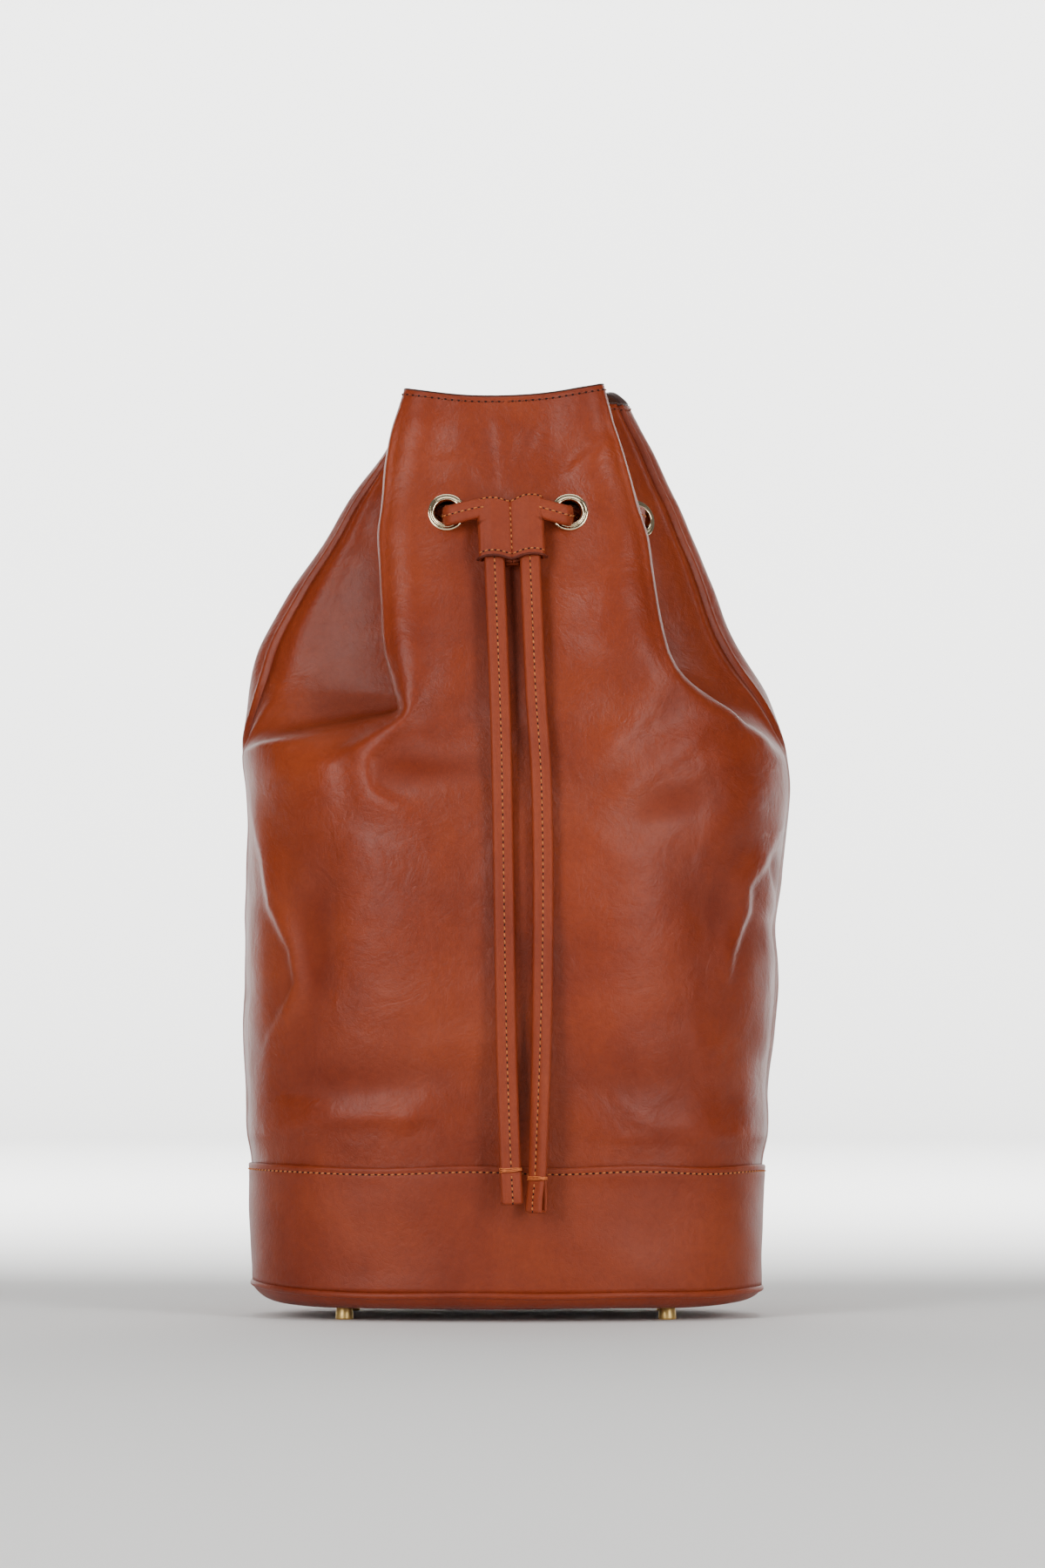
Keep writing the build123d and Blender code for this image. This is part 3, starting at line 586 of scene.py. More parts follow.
def walled_piece(name, outer, inner, keep=None, wrap=False):
    """A closed wall between an outer and an inner grid of the same size. Quads outside the keep mask are
    left out, and every free edge of the outer sheet is joined to the same edge of the inner sheet."""
    rows, columns = outer.shape[:2]
    count = rows * columns
    quads = grid_faces(rows, columns, wrap_columns=wrap)
    if keep is not None:
        quads = quads[keep.ravel()]
    start = quads.ravel()
    end = np.roll(quads, -1, axis=1).ravel()
    key, back_key = start * count + end, end * count + start
    free = ~np.isin(key, back_key)
    start, end = start[free], end[free]
    wall = np.stack([end, start, start + count, end + count], axis=-1)
    faces = np.concatenate([quads, quads[:, ::-1] + count, wall])
    points = np.concatenate([outer, inner]).reshape(-1, 3)
    used, faces = np.unique(faces, return_inverse=True)
    piece = mesh_piece(name, points[used], faces.reshape(-1, 4))
    return piece, used


def joined_piece(name, shells):
    """One mesh of several separate closed shells, each given as points and quads."""
    points, faces, total = [], [], 0
    for shell_points, shell_faces in shells:
        points.append(shell_points)
        faces.append(shell_faces + total)
        total += len(shell_points)
    return mesh_piece(name, np.concatenate(points), np.concatenate(faces))


def punched(grid, radius):
    """Mask of the quads that stay when round holes are punched at the eyelets."""
    centre = (grid[:-1, :-1] + grid[1:, :-1] + grid[1:, 1:] + grid[:-1, 1:]) / 4
    keep = np.ones(centre.shape[:2], dtype=bool)
    for index in EYELETS.values():
        place, normal = eyelet_place(index)
        offset = centre - place
        height = offset @ normal
        away = np.linalg.norm(offset - height[..., None] * normal, axis=-1)
        keep &= (away > radius) | (np.abs(height) > 0.008)
    return keep


# ---------------------------------------------------------------- materials

# Painted shade and painted highlight that the fold attribute multiplies into the colour: darker in deep
# hollows, unchanged on level leather, lighter on crests
FOLD_PAINTED_SHADE_AND_HIGHLIGHT = ((0.22, (0.74, 0.62, 0.52)), (0.48, (1.0, 1.0, 1.0)), (0.80, (1.12, 1.10, 1.08)))
PEBBLE_DEPTH = 0.00035        # metres of bump
VEIN_DEPTH = 0.0014
WRINKLE_DEPTH = 0.0009
SOFT_DEPTH = 0.0026


def material(name):
    """A new node material with its Principled shader."""
    mat = bpy.data.materials.new(name)
    mat.use_nodes = True
    nodes, links = mat.node_tree.nodes, mat.node_tree.links
    return mat, nodes, links, nodes["Principled BSDF"]


def noise(nodes, links, coord, scale, detail=3.0, roughness=0.55, distortion=0.0):
    """A noise texture on the given coordinates."""
    node = nodes.new("ShaderNodeTexNoise")
    node.inputs["Scale"].default_value = scale
    node.inputs["Detail"].default_value = detail
    node.inputs["Roughness"].default_value = roughness
    node.inputs["Distortion"].default_value = distortion
    links.new(coord, node.inputs["Vector"])
    return node.outputs["Fac"]


def ramp(nodes, links, value, stops):
    """A colour ramp through (place, colour) stops."""
    node = nodes.new("ShaderNodeValToRGB")
    elements = node.color_ramp.elements
    while len(elements) < len(stops):
        elements.new(0.5)
    for element, (place, colour) in zip(elements, stops):
        element.position = place
        element.color = (*colour, 1.0)
    links.new(value, node.inputs["Fac"])
    return node.outputs["Color"]


def math_node(nodes, links, operation, first, second):
    """A math node of two values or sockets."""
    node = nodes.new("ShaderNodeMath")
    node.operation = operation
    for socket, value in zip(node.inputs, (first, second)):
        if isinstance(value, (int, float)):
            socket.default_value = value
        else:
            links.new(value, socket)
    return node.outputs[0]


def bump(nodes, links, height, strength, distance, normal=None):
    """A bump node over an earlier normal."""
    node = nodes.new("ShaderNodeBump")
    node.inputs["Strength"].default_value = strength
    node.inputs["Distance"].default_value = distance
    links.new(height, node.inputs["Height"])
    if normal is not None:
        links.new(normal, node.inputs["Normal"])
    return node.outputs["Normal"]


def blend(nodes, links, mode, factor, first, second):
    """A colour mix node of two sockets."""
    node = nodes.new("ShaderNodeMix")
    node.data_type = "RGBA"
    node.blend_type = mode
    node.inputs["Factor"].default_value = factor
    links.new(first, node.inputs["A"])
    links.new(second, node.inputs["B"])
    return node.outputs["Result"]


def map_range(nodes, links, value, low, high, to_low, to_high):
    """A value carried from one range to another, held at its ends."""
    node = nodes.new("ShaderNodeMapRange")
    node.inputs["From Min"].default_value = low
    node.inputs["From Max"].default_value = high
    node.inputs["To Min"].default_value = to_low
    node.inputs["To Max"].default_value = to_high
    links.new(value, node.inputs["Value"])
    return node.outputs["Result"]


def cell_edges(nodes, links, coord, scale, width):
    """Distance to the nearest edge of a pattern of cells, flat beyond a width."""
    node = nodes.new("ShaderNodeTexVoronoi")
    node.feature = "DISTANCE_TO_EDGE"
    node.inputs["Scale"].default_value = scale
    links.new(coord, node.inputs["Vector"])
    return math_node(nodes, links, "MINIMUM", node.outputs["Distance"], width)


def leather_material(name, dark, mid, light, grain, roughness, folds=False):
    """Aniline leather: mottled colour, fine pebbled grain and creased lines, uneven gloss; with folds, also
    painted shade in the hollows and painted highlight on the crests from the fold attribute.
    """
    mat, nodes, links, shader = material(name)
    coord = nodes.new("ShaderNodeTexCoord").outputs["Object"]
    cloud = noise(nodes, links, coord, 14.0, 6.0, 0.62, 0.3)
    colour = ramp(nodes, links, cloud, ((0.26, dark), (0.50, mid), (0.76, light)))
    speck = noise(nodes, links, coord, 420.0, 3.0, 0.6)
    tint = ramp(nodes, links, speck, ((0.30, (0.80, 0.78, 0.76)), (0.62, (1.0, 1.0, 1.0))))
    result = blend(nodes, links, "MULTIPLY", 0.55, colour, tint)
    if folds:
        fold = nodes.new("ShaderNodeAttribute")
        fold.attribute_name = "fold"
        # painted shade in hollows and pleats, painted highlight on crests, multiplied into the colour
        painted_fold_shade = ramp(nodes, links, fold.outputs["Fac"], FOLD_PAINTED_SHADE_AND_HIGHLIGHT)
        result = blend(nodes, links, "MULTIPLY", 0.8, result, painted_fold_shade)
    links.new(result, shader.inputs["Base Color"])
    pebble = cell_edges(nodes, links, coord, grain, 0.22)
    wrinkle = noise(nodes, links, coord, 130.0, 5.0, 0.62, 1.2)
    warp = nodes.new("ShaderNodeTexNoise")
    warp.inputs["Scale"].default_value = 60.0
    links.new(coord, warp.inputs["Vector"])
    bent = blend(nodes, links, "ADD", 0.012, coord, warp.outputs["Color"])
    vein = cell_edges(nodes, links, bent, 210.0, 0.10)
    patch = noise(nodes, links, coord, 22.0, 3.0, 0.6)
    vein = math_node(nodes, links, "MULTIPLY", vein, patch)
    fine = bump(nodes, links, pebble, 0.30, PEBBLE_DEPTH)
    lined = bump(nodes, links, vein, 0.34, VEIN_DEPTH, fine)
    full = bump(nodes, links, wrinkle, 0.30, WRINKLE_DEPTH, lined)
    if folds:
        soft = noise(nodes, links, coord, 42.0, 4.0, 0.6, 0.8)
        full = bump(nodes, links, soft, 0.34, SOFT_DEPTH, full)
    links.new(full, shader.inputs["Normal"])
    gloss = noise(nodes, links, coord, 26.0, 4.0, 0.6)
    rough = map_range(nodes, links, gloss, 0.0, 1.0, roughness - 0.07, roughness + 0.11)
    if folds:
        hollow = map_range(nodes, links, fold.outputs["Fac"], 0.20, 0.45, 0.42, 0.0)
        rough = math_node(nodes, links, "ADD", rough, hollow)
    links.new(rough, shader.inputs["Roughness"])
    shader.inputs["Specular IOR Level"].default_value = 0.30
    return mat


def metal_material(name, colour, roughness, scratch):
    """Plated metal: faint cloudy tint and fine wear in the gloss."""
    mat, nodes, links, shader = material(name)
    coord = nodes.new("ShaderNodeTexCoord").outputs["Object"]
    cloud = noise(nodes, links, coord, 180.0, 3.0, 0.5)
    low = tuple(c * 0.90 for c in colour)
    links.new(ramp(nodes, links, cloud, ((0.35, low), (0.65, colour))), shader.inputs["Base Color"])
    wear = noise(nodes, links, coord, 900.0, 4.0, 0.7)
    rough = map_range(nodes, links, wear, 0.0, 1.0, roughness * 0.7, roughness * 1.5)
    links.new(rough, shader.inputs["Roughness"])
    links.new(bump(nodes, links, wear, scratch, 0.00005), shader.inputs["Normal"])
    shader.inputs["Metallic"].default_value = 1.0
    return mat


def thread_material(name, colour):
    """Waxed linen thread: a twisted ply in bump and a little colour change."""
    mat, nodes, links, shader = material(name)
    coord = nodes.new("ShaderNodeTexCoord").outputs["Object"]
    cloud = noise(nodes, links, coord, 700.0, 3.0, 0.6)
    low = tuple(c * 0.62 for c in colour)
    links.new(ramp(nodes, links, cloud, ((0.30, low), (0.65, colour))), shader.inputs["Base Color"])
    links.new(bump(nodes, links, cloud, 0.5, 0.0002), shader.inputs["Normal"])
    shader.inputs["Roughness"].default_value = 0.62
    return mat


def cloth_material(name, dark, light):
    """Plain woven cotton: two crossed wave patterns for colour and bump."""
    mat, nodes, links, shader = material(name)
    coord = nodes.new("ShaderNodeTexCoord").outputs["Object"]
    cloud = noise(nodes, links, coord, 60.0, 4.0, 0.6)
    links.new(ramp(nodes, links, cloud, ((0.3, dark), (0.7, light))), shader.inputs["Base Color"])
    waves = []
    for direction in ("X", "Z"):
        wave = nodes.new("ShaderNodeTexWave")
        wave.bands_direction = direction
        wave.inputs["Scale"].default_value = 420.0
        wave.inputs["Distortion"].default_value = 1.0
        links.new(coord, wave.inputs["Vector"])
        waves.append(wave.outputs["Fac"])
    weave = math_node(nodes, links, "MAXIMUM", waves[0], waves[1])
    links.new(bump(nodes, links, weave, 0.4, 0.0003), shader.inputs["Normal"])
    shader.inputs["Roughness"].default_value = 0.9
    return mat


def make_materials():
    """Every finish of the bag, by name."""
    body = ((0.138, 0.0138, 0.0020), (0.200, 0.0250, 0.0042), (0.258, 0.0385, 0.0078))
    strap = ((0.170, 0.0190, 0.0034), (0.225, 0.0300, 0.0058), (0.275, 0.0420, 0.0092))
    return {
        "leather": leather_material("cognac_leather", *body, 900.0, 0.40, folds=True),
        "band": leather_material("cognac_band_leather", *body, 1100.0, 0.46),
        "strap": leather_material("cognac_strap_leather", *strap, 1300.0, 0.55),
        "edge": leather_material("painted_edge", (0.030, 0.010, 0.008), (0.050, 0.016, 0.012),
                                 (0.070, 0.022, 0.016), 1500.0, 0.42),
        # dark red-brown: painted shade along the keeper's lower lip
        "lip": leather_material("keeper_lip_painted_shade", (0.060, 0.0060, 0.0010), (0.090, 0.0100, 0.0020),
                                (0.120, 0.0150, 0.0030), 1500.0, 0.60),
        "suede": leather_material("facing_leather", (0.090, 0.030, 0.016), (0.130, 0.045, 0.024),
                                  (0.170, 0.060, 0.034), 1500.0, 0.80),
        "thread": thread_material("orange_thread", (0.55, 0.160, 0.034)),
        "tack": thread_material("red_orange_thread", (0.62, 0.150, 0.032)),
        "dark_thread": thread_material("brown_thread", (0.20, 0.028, 0.004)),
        # near-black beads: painted shade inside the awl holes
        "hole": leather_material("awl_hole_painted_shade", (0.012, 0.003, 0.001), (0.018, 0.004, 0.002),
                                 (0.024, 0.006, 0.003), 1500.0, 0.90),
        "gold": metal_material("pale_gold_plating", (0.88, 0.73, 0.48), 0.10, 0.004),
        "brass": metal_material("gilt_brass", (0.90, 0.62, 0.22), 0.36, 0.03),
        "steel": metal_material("zinc_plate", (0.60, 0.60, 0.58), 0.35, 0.10),
        "cloth": cloth_material("lining_cotton", (0.055, 0.024, 0.012), (0.090, 0.040, 0.020)),
        "board": cloth_material("fibre_board", (0.16, 0.14, 0.11), (0.26, 0.23, 0.18)),
    }


def finish_piece(obj, mat, body="bag", replaces=()):
    """Give a piece its material, the body it rides on and the nodes it stands for."""
    if not obj.data.materials:
        obj.data.materials.append(mat)
    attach(obj, body)
    if replaces:
        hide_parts(*replaces)


# ---------------------------------------------------------------- cords

# Loose strap ends: control points from eyelet to tip
TAIL_ROUTES = {
    "left": ((-0.0286, -0.0562, 0.3905), (-0.0292, -0.0650, 0.3895), (-0.0205, -0.0662, 0.3918),
             (-0.0063, -0.0648, 0.3952), (-0.0054, -0.0706, 0.3729), (-0.0035, -0.0833, 0.3300),
             (-0.0021, -0.0928, 0.2980), (-0.0012, -0.0973, 0.2660), (-0.0002, -0.0986, 0.2060),
             (0.0007, -0.0982, 0.1420), (0.0020, -0.0990, 0.0980), (0.0037, -0.0994, 0.0570)),
    "right": ((0.0310, -0.0562, 0.3905), (0.0316, -0.0650, 0.3895), (0.0232, -0.0662, 0.3918),
              (0.0110, -0.0648, 0.3952), (0.0119, -0.0704, 0.3743), (0.0138, -0.0833, 0.3300),
              (0.0152, -0.0928, 0.2980), (0.0179, -0.0973, 0.2660), (0.0189, -0.0989, 0.2080),
              (0.0181, -0.0980, 0.1400), (0.0169, -0.0989, 0.0960), (0.0152, -0.0996, 0.0530)),
}
TAIL_TWIST = {"left": -8.0, "right": 38.0}      # degrees of turn at the tip
TIP_LENGTH = 0.0165
TIP_LAYER = 0.0019
TAIL_STEP = 0.0015             # between the rows of a loose end
FACE_SINK, BACK_SINK = 0.00026, 0.00072    # how deep the two stitch rows lie in the strap


def route_line(name, points, resolution=24):
    """Points along the smooth spline whose control points are the route's."""
    data = bpy.data.curves.new(name, "CURVE")
    data.dimensions = "3D"
    data.resolution_u = resolution
    spline = data.splines.new("NURBS")
    spline.points.add(len(points) - 1)
    for control, point in zip(spline.points, points):
        control.co = (*point, 1.0)
    spline.order_u = 3
    spline.use_endpoint_u = True
    holder = bpy.data.objects.new(name, data)
    bpy.context.scene.collection.objects.link(holder)
    mesh = bpy.data.meshes.new_from_object(holder)
    line = np.array([tuple(v.co) for v in mesh.vertices])
    bpy.data.objects.remove(holder)
    bpy.data.meshes.remove(mesh)
    return line


def even_line(line, step):
    """The same line with points evenly spaced."""
    reach = reach_along(line)
    count = max(2, int(round(reach[-1] / step)) + 1)
    return sampled(line, reach, np.linspace(0.0, reach[-1], count))


def carried_frame(line, face):
    """Face normals carried along a line without twist, starting from one: each is turned only as far as
    the line itself turns."""
    tangent = unit(np.gradient(line, axis=0))
    normal = unit(face - tangent[0] * np.dot(face, tangent[0]))
    normals = [normal]
    for t in tangent[1:]:
        normal = unit(normal - t * np.dot(normal, t))
        normals.append(normal)
    return tangent, np.array(normals)


def strap_profile(width, thick, groove):
    """Outline of the folded strap: a rounded bar with a shallow stitched groove along its face and back,
    thickness along a, width along b."""
    b = np.linspace(-1.0, 1.0, 15)
    edge = (1 - np.abs(b) ** 4) ** 0.5
    a = thick / 2 * (0.30 + 0.70 * edge) - groove * np.exp(-(b / 0.13) ** 2)
    face = np.stack([a, b * width / 2], axis=-1)
    back = np.stack([-a[::-1], b[::-1] * width / 2], axis=-1)
    return np.concatenate([face, back])


def strap_shell(line, normals, width=STRAP_WIDTH, thick=STRAP_THICK, groove=0.0003):
    """A strap carried along a line with given face normals."""
    return tube_shell(swept_grid(line, normals, strap_profile(width, thick, groove)))


def row_places(line, outward, pitch, start):
    """Evenly pitched places along a line: how many, the points, and the directions out, along and aside."""
    reach = reach_along(line)
    at = np.arange(start, reach[-1], pitch)
    out = unit(sampled(outward, reach, at))
    tangent = unit(sampled(np.gradient(line, reach, axis=0), reach, at))
    return len(at), sampled(line, reach, at), out, tangent, np.cross(out, tangent)


def repeated_faces(count, rows, columns):
    """Quads of the same small tube grid made many times over."""
    quads = grid_faces(rows, columns, wrap_columns=True)
    return (quads[None] + (np.arange(count) * rows * columns)[:, None, None]).reshape(-1, 4)


def stitch_shells(line, outward, pitch=STITCH_PITCH, length=0.62, radius=0.00040, lift=0.00022, slant=0.16):
    """Thread stitches along a line: each is a short bead, thickest in its middle, its ends sunk in the
    leather, turned a little off the line. Returns points and quads."""
    count, place, out, tangent, side = row_places(line, outward, pitch, pitch / 2)
    tangent = unit(tangent + side * slant)
    side = np.cross(out, tangent)
    t = np.linspace(-1.0, 1.0, 7)
    turn = full_turn(6)
    bead = radius * np.sqrt(np.maximum(1 - t ** 2 * 0.98, 0.02))
    rise = lift - (lift + radius) * t ** 4
    middle = (place[:, None] + tangent[:, None] * (t * pitch * length / 2)[None, :, None]
              + out[:, None] * rise[None, :, None])
    ring = (side[:, None, None] * np.cos(turn)[None, None, :, None]
            + out[:, None, None] * np.sin(turn)[None, None, :, None])
    points = middle[:, :, None] + ring * bead[None, :, None, None]
    return points.reshape(-1, 3), repeated_faces(count, len(t), len(turn))


def puncture_shells(line, outward, pitch=STITCH_PITCH, radius=0.00045, stretch=1.3):
    """Awl holes between the stitches: small flattened beads, longer along the row, coloured near black as
    painted shade of the holes.
    """
    count, place, out, tangent, side = row_places(line, outward, pitch, pitch)
    polar = np.linspace(0.02, math.pi - 0.02, 5)
    turn = full_turn(8)
    ring = (tangent[:, None, None] * (stretch * np.cos(turn))[None, None, :, None]
            + side[:, None, None] * np.sin(turn)[None, None, :, None])
    points = (place[:, None, None] + ring * (radius * np.sin(polar))[None, :, None, None]
              + out[:, None, None] * (HOLE_RISE * np.cos(polar))[None, :, None, None])
    return points.reshape(-1, 3), repeated_faces(count, len(polar), len(turn))[:, ::-1]


def stitch_row(name, line, outward, thread="thread", body="bag", pitch=STITCH_PITCH,
               hole=0.00045):
    """A row of stitches and its awl holes, as two pieces; the holes' dark colour is painted shade."""
    row = joined_piece(name, [stitch_shells(line, outward, pitch)])
    finish_piece(row, materials[thread], body)
    holes = joined_piece(name + "_holes", [puncture_shells(line, outward, pitch, hole)])
    finish_piece(holes, materials["hole"], body)
    return [row, holes]


def tip_line(line, normals):
    """Middle line and outward direction of the strap's end where it is folded back on itself: down the
    front, round and up the back, as a long drop shape that is open at its sides."""
    tangent = unit(line[-1] - line[-6])
    out = normals[-1]
    t = np.linspace(0.0, 1.0, 40)
    angle = (t - 0.5) * 2
    swell = 0.00125 * np.sin(np.clip((1 - np.abs(angle)) * 2.2, 0, 1) * math.pi / 2) ** 0.8
    depth = (TIP_LENGTH - 0.0010) * (1 - np.abs(angle) ** 2.4)
    side = np.where(angle < 0, 1.0, -1.0) * np.minimum(1.0, np.abs(angle) * 7.0)
    offset = side * (0.00060 + swell)
    loop = line[-1] - tangent * TIP_LENGTH + tangent * depth[:, None] + out * offset[:, None]
    direction = unit(np.gradient(loop, axis=0))
    return loop, np.cross(direction, np.broadcast_to(np.cross(tangent, out), direction.shape))


def tip_loop(line, normals):
    """Points and quads of the folded end."""
    loop, face = tip_line(line, normals)
    b = np.linspace(-1.0, 1.0, 9)
    a = TIP_LAYER / 2 * (0.4 + 0.6 * (1 - np.abs(b) ** 4) ** 0.5)
    profile = np.concatenate([np.stack([a, b * STRAP_WIDTH / 2], axis=-1),
                              np.stack([-a[::-1], b[::-1] * STRAP_WIDTH / 2], axis=-1)])
    return tube_shell(swept_grid(loop, face, profile))


def bar_tack(line, normals, width=0.0104, turns=3):
    """Thread wound a few times across the strap above its folded tip, each turn a little askew."""
    tangent = unit(line[-1] - line[-6])
    out = normals[-1]
    across = np.cross(tangent, out)
    shells = []
    for k in range(turns):
        at = line[-1] - tangent * (TIP_LENGTH - 0.0002 + 0.00062 * k)
        angle = full_turn(40)
        c, s = np.cos(angle), np.sin(angle)
        hoop = (at + across * (np.sign(c) * np.abs(c) ** 0.5 * width / 2)[:, None]
                + out * (np.sign(s) * np.abs(s) ** 0.6 * 0.00222)[:, None]
                + tangent * ((0.00034 - 0.00022 * k) * c + 0.00012 * np.sin(5 * angle + k))[:, None])
        turn = full_turn(6)
        ring = TACK_THREAD * np.stack([np.cos(turn), np.sin(turn)], axis=-1)
        shells.append(hoop_shell(swept_grid(hoop, unit(hoop - at), ring, closed=True)))
    return shells


def make_tails():
    """The two loose strap ends with their folded tips, tacks and centre stitching."""
    for side, route in TAIL_ROUTES.items():
        line = even_line(route_line("route_" + side, route), TAIL_STEP)
        _, normals = carried_frame(line, np.array([-1.0 if side == "left" else 1.0, 0.0, 0.0]))
        if np.dot(normals[-1], [0, -1, 0]) < 0:
            normals = -normals
        tangent = unit(np.gradient(line, axis=0))
        share = np.linspace(0, 1, len(line))
        twist = np.radians(TAIL_TWIST[side]) * smooth_step(share, 0.55, 1.0)
        third = np.cross(tangent, normals)
        normals = normals * np.cos(twist)[:, None] + third * np.sin(twist)[:, None]
        cut = len(line) - int(TIP_LENGTH / TAIL_STEP)
        strap = strap_shell(line[:cut], normals[:cut])
        tail = joined_piece("drawstring_end_" + side, [strap, tip_loop(line, normals)])
        finish_piece(tail, materials["strap"], replaces=("drawstring_tail_" + side,))
        face = line[:cut - 1] + normals[:cut - 1] * (STRAP_THICK / 2 - FACE_SINK)
        back = line[:cut - 1] - normals[:cut - 1] * (STRAP_THICK / 2 - BACK_SINK)
        extra = stitch_row("end_stitches_" + side, face, normals[:cut - 1])
        extra += stitch_row("end_back_stitches_" + side, back, -normals[:cut - 1])
        loop, face = tip_line(line, normals)
        front = loop[1:17] + unit(face[1:17]) * np.sign(np.dot(face[8], normals[-1])) * TIP_LAYER / 2
        extra += stitch_row("tip_stitches_" + side, front, np.tile(normals[-1], (16, 1)),
                            pitch=0.0028)
        tack = joined_piece("tip_tack_" + side, bar_tack(line, normals))
        finish_piece(tack, materials["tack"])
        extra.append(tack)


def loop_route():
    """Control points of the held part of the strap: in and out through the eyelets round the neck."""
    def inner(index, reach=0.0085):
        """A point behind an eyelet."""
        here, normal = eyelet_place(index)
        return tuple(here - normal * reach)

    def outer(index, reach=0.0080):
        """A point in front of an eyelet."""
        here, normal = eyelet_place(index)
        return tuple(here + normal * reach)

    z = EYELET_Z
    return [inner(23, 0.0015), inner(23), inner(20, 0.007), outer(20, 0.0035),
            outer(18, 0.0035), inner(18, 0.007), (-0.066, 0.017, z), (-0.063, 0.033, z), (-0.052, 0.044, z),
            inner(13), outer(13, 0.0075), (-0.024, outer(13, 0.0075)[1] + 0.0012, z + 0.002),
            (0.024, outer(11, 0.0075)[1] + 0.0012, z + 0.002), outer(11, 0.0075), inner(11),
            (0.052, 0.044, z), (0.063, 0.033, z), (0.066, 0.017, z), inner(6, 0.007), outer(6, 0.0045),
            outer(4, 0.0045), inner(4, 0.007), inner(1), inner(1, 0.0015)]


def make_loop():
    """The flat strap woven through the eyelets, on edge all the way."""
    line = even_line(route_line("route_loop", loop_route()), TAIL_STEP)
    tangent = unit(np.gradient(line, axis=0))
    upward = np.broadcast_to([0.0, 0.0, 1.0], tangent.shape)
    normals = unit(np.cross(upward, tangent))
    profile = strap_profile(NECK_WIDTH, NECK_THICK, 0.0002)
    strap = joined_piece("drawstring_round_neck", [tube_shell(swept_grid(line, normals, profile))])
    finish_piece(strap, materials["strap"], replaces=("drawstring_loop",))
    for name, way in (("outer", -1.0), ("inner", 1.0)):
        face = line + way * normals * (NECK_THICK / 2 - 0.00015)
        stitch_row("neck_stitches_" + name, face, way * normals)


# ---------------------------------------------------------------- leather body

def make_leather():
    """The front and back panels of the body with relief, thickness, eyelet holes and a fold attribute, which
    carries painted shade into hollows and pleats and painted highlight onto crests.
    """
    for name, first, last, node in (
            ("leather_front", -SEAM_SHARE, SEAM_SHARE, "body_front_panel"),
            ("leather_back", SEAM_SHARE, RING_POINTS - SEAM_SHARE, "body_back_panel")):
        rows = 210
        outer, normals = leather_grid(first, last, 15, rows)
        inner = outer - normals * LEATHER
        piece, used = walled_piece(name, outer, inner, punched(outer, PUNCH_RADIUS))
        share = np.linspace(first, last, outer.shape[1])
        smooth = form(share, np.linspace(BODY_LOW, BODY_TOP, rows))
        # fold value: the relief, less the pleat depth, for painted shade in hollows and pleats and painted
        # highlight on crests
        height = np.clip(relief(smooth, share) / 0.007 + 0.5 - 0.22 * pleat_depth(smooth, share), 0, 1)
        fold = piece.data.attributes.new("fold", "FLOAT", "POINT")
        fold.data.foreach_set("value", np.tile(height.ravel(), 2)[used].astype(np.float32))
        finish_piece(piece, materials["leather"], replaces=(node,))


def make_facing():
    """The leather strip behind the eyelets and the cloth wall below it, following the creased leather."""
    outer, normals = leather_grid(0.0, RING_POINTS, 12, 44, low=FACING_LOW)
    outer, normals = outer[:, :-1], normals[:, :-1]
    start = LEATHER + 0.0001
    keep = punched(np.concatenate([outer, outer[:, :1]], axis=1), PUNCH_RADIUS)
    piece, _ = walled_piece("mouth_facing_strip", outer - normals * start, outer - normals * (start + FACING),
                            keep, wrap=True)
    finish_piece(piece, materials["suede"], replaces=("mouth_facing",))
    outer, normals = leather_grid(0.0, RING_POINTS, 8, 120, top=FACING_LOW - 0.0005)
    outer, normals = outer[:, :-1], normals[:, :-1]
    piece, _ = walled_piece("lining_side", outer - normals * start, outer - normals * (start + LINING),
                            wrap=True)
    finish_piece(piece, materials["cloth"], replaces=("lining_wall",))


def mouth_line(inset, drop):
    """The mouth's edge as a closed line with its outward normals, inset and dropped."""
    outer, normals = leather_grid(0.0, RING_POINTS, 15, 40, low=0.400)
    top, below = outer[-1, :-1], outer[-2, :-1]
    downward = unit(below - top)
    return top - normals[-1, :-1] * inset + downward * drop, normals[-1, :-1]


def make_mouth_edge():
    """The painted cut edge: a low rounded bead over both layers all round the mouth, and its stitching."""
    line, normals = mouth_line((LEATHER + FACING) / 2, 0.0)
    wide, high = (LEATHER + FACING) / 2 + 0.0002, 0.0006
    turn = full_turn(12)
    profile = np.stack([wide * np.sign(np.cos(turn)) * np.abs(np.cos(turn)) ** 0.6,
                        high * np.sign(np.sin(turn)) * np.abs(np.sin(turn)) ** 0.8], axis=-1)
    piece = joined_piece("mouth_painted_edge", [hoop_shell(swept_grid(line, normals, profile, closed=True))])
    finish_piece(piece, materials["edge"])
    line, normals = mouth_line(0.0, MOUTH_STITCH_DROP)
    line = np.concatenate([line, line[:1]])
    normals = np.concatenate([normals, normals[:1]])
    stitch_row("mouth_stitches", line, normals, thread="dark_thread", hole=0.00055)


# ---------------------------------------------------------------- base

def base_line(inset, height, count=480):
    """The base's outline, evenly spaced and anticlockwise from above, with its outward normals."""
    angle = np.linspace(-90.0, 270.0, 2001)
    x, y = oblong(angle, BASE_HALF_WIDTH, BASE_HALF_DEPTH)
    reach = np.concatenate(([0.0], np.cumsum(np.hypot(np.diff(x), np.diff(y)))))
    at = np.linspace(0.0, reach[-1], count, endpoint=False)
    x, y = np.interp(at, reach, x), np.interp(at, reach, y)
    line = np.stack([x, y, np.zeros_like(x)], axis=-1)
    ahead = unit(np.roll(line, -2, axis=0) - np.roll(line, 2, axis=0))
    normals = np.cross(ahead, [0.0, 0.0, 1.0])
    line = line - normals * inset
    line[:, 2] = height
    return line, normals


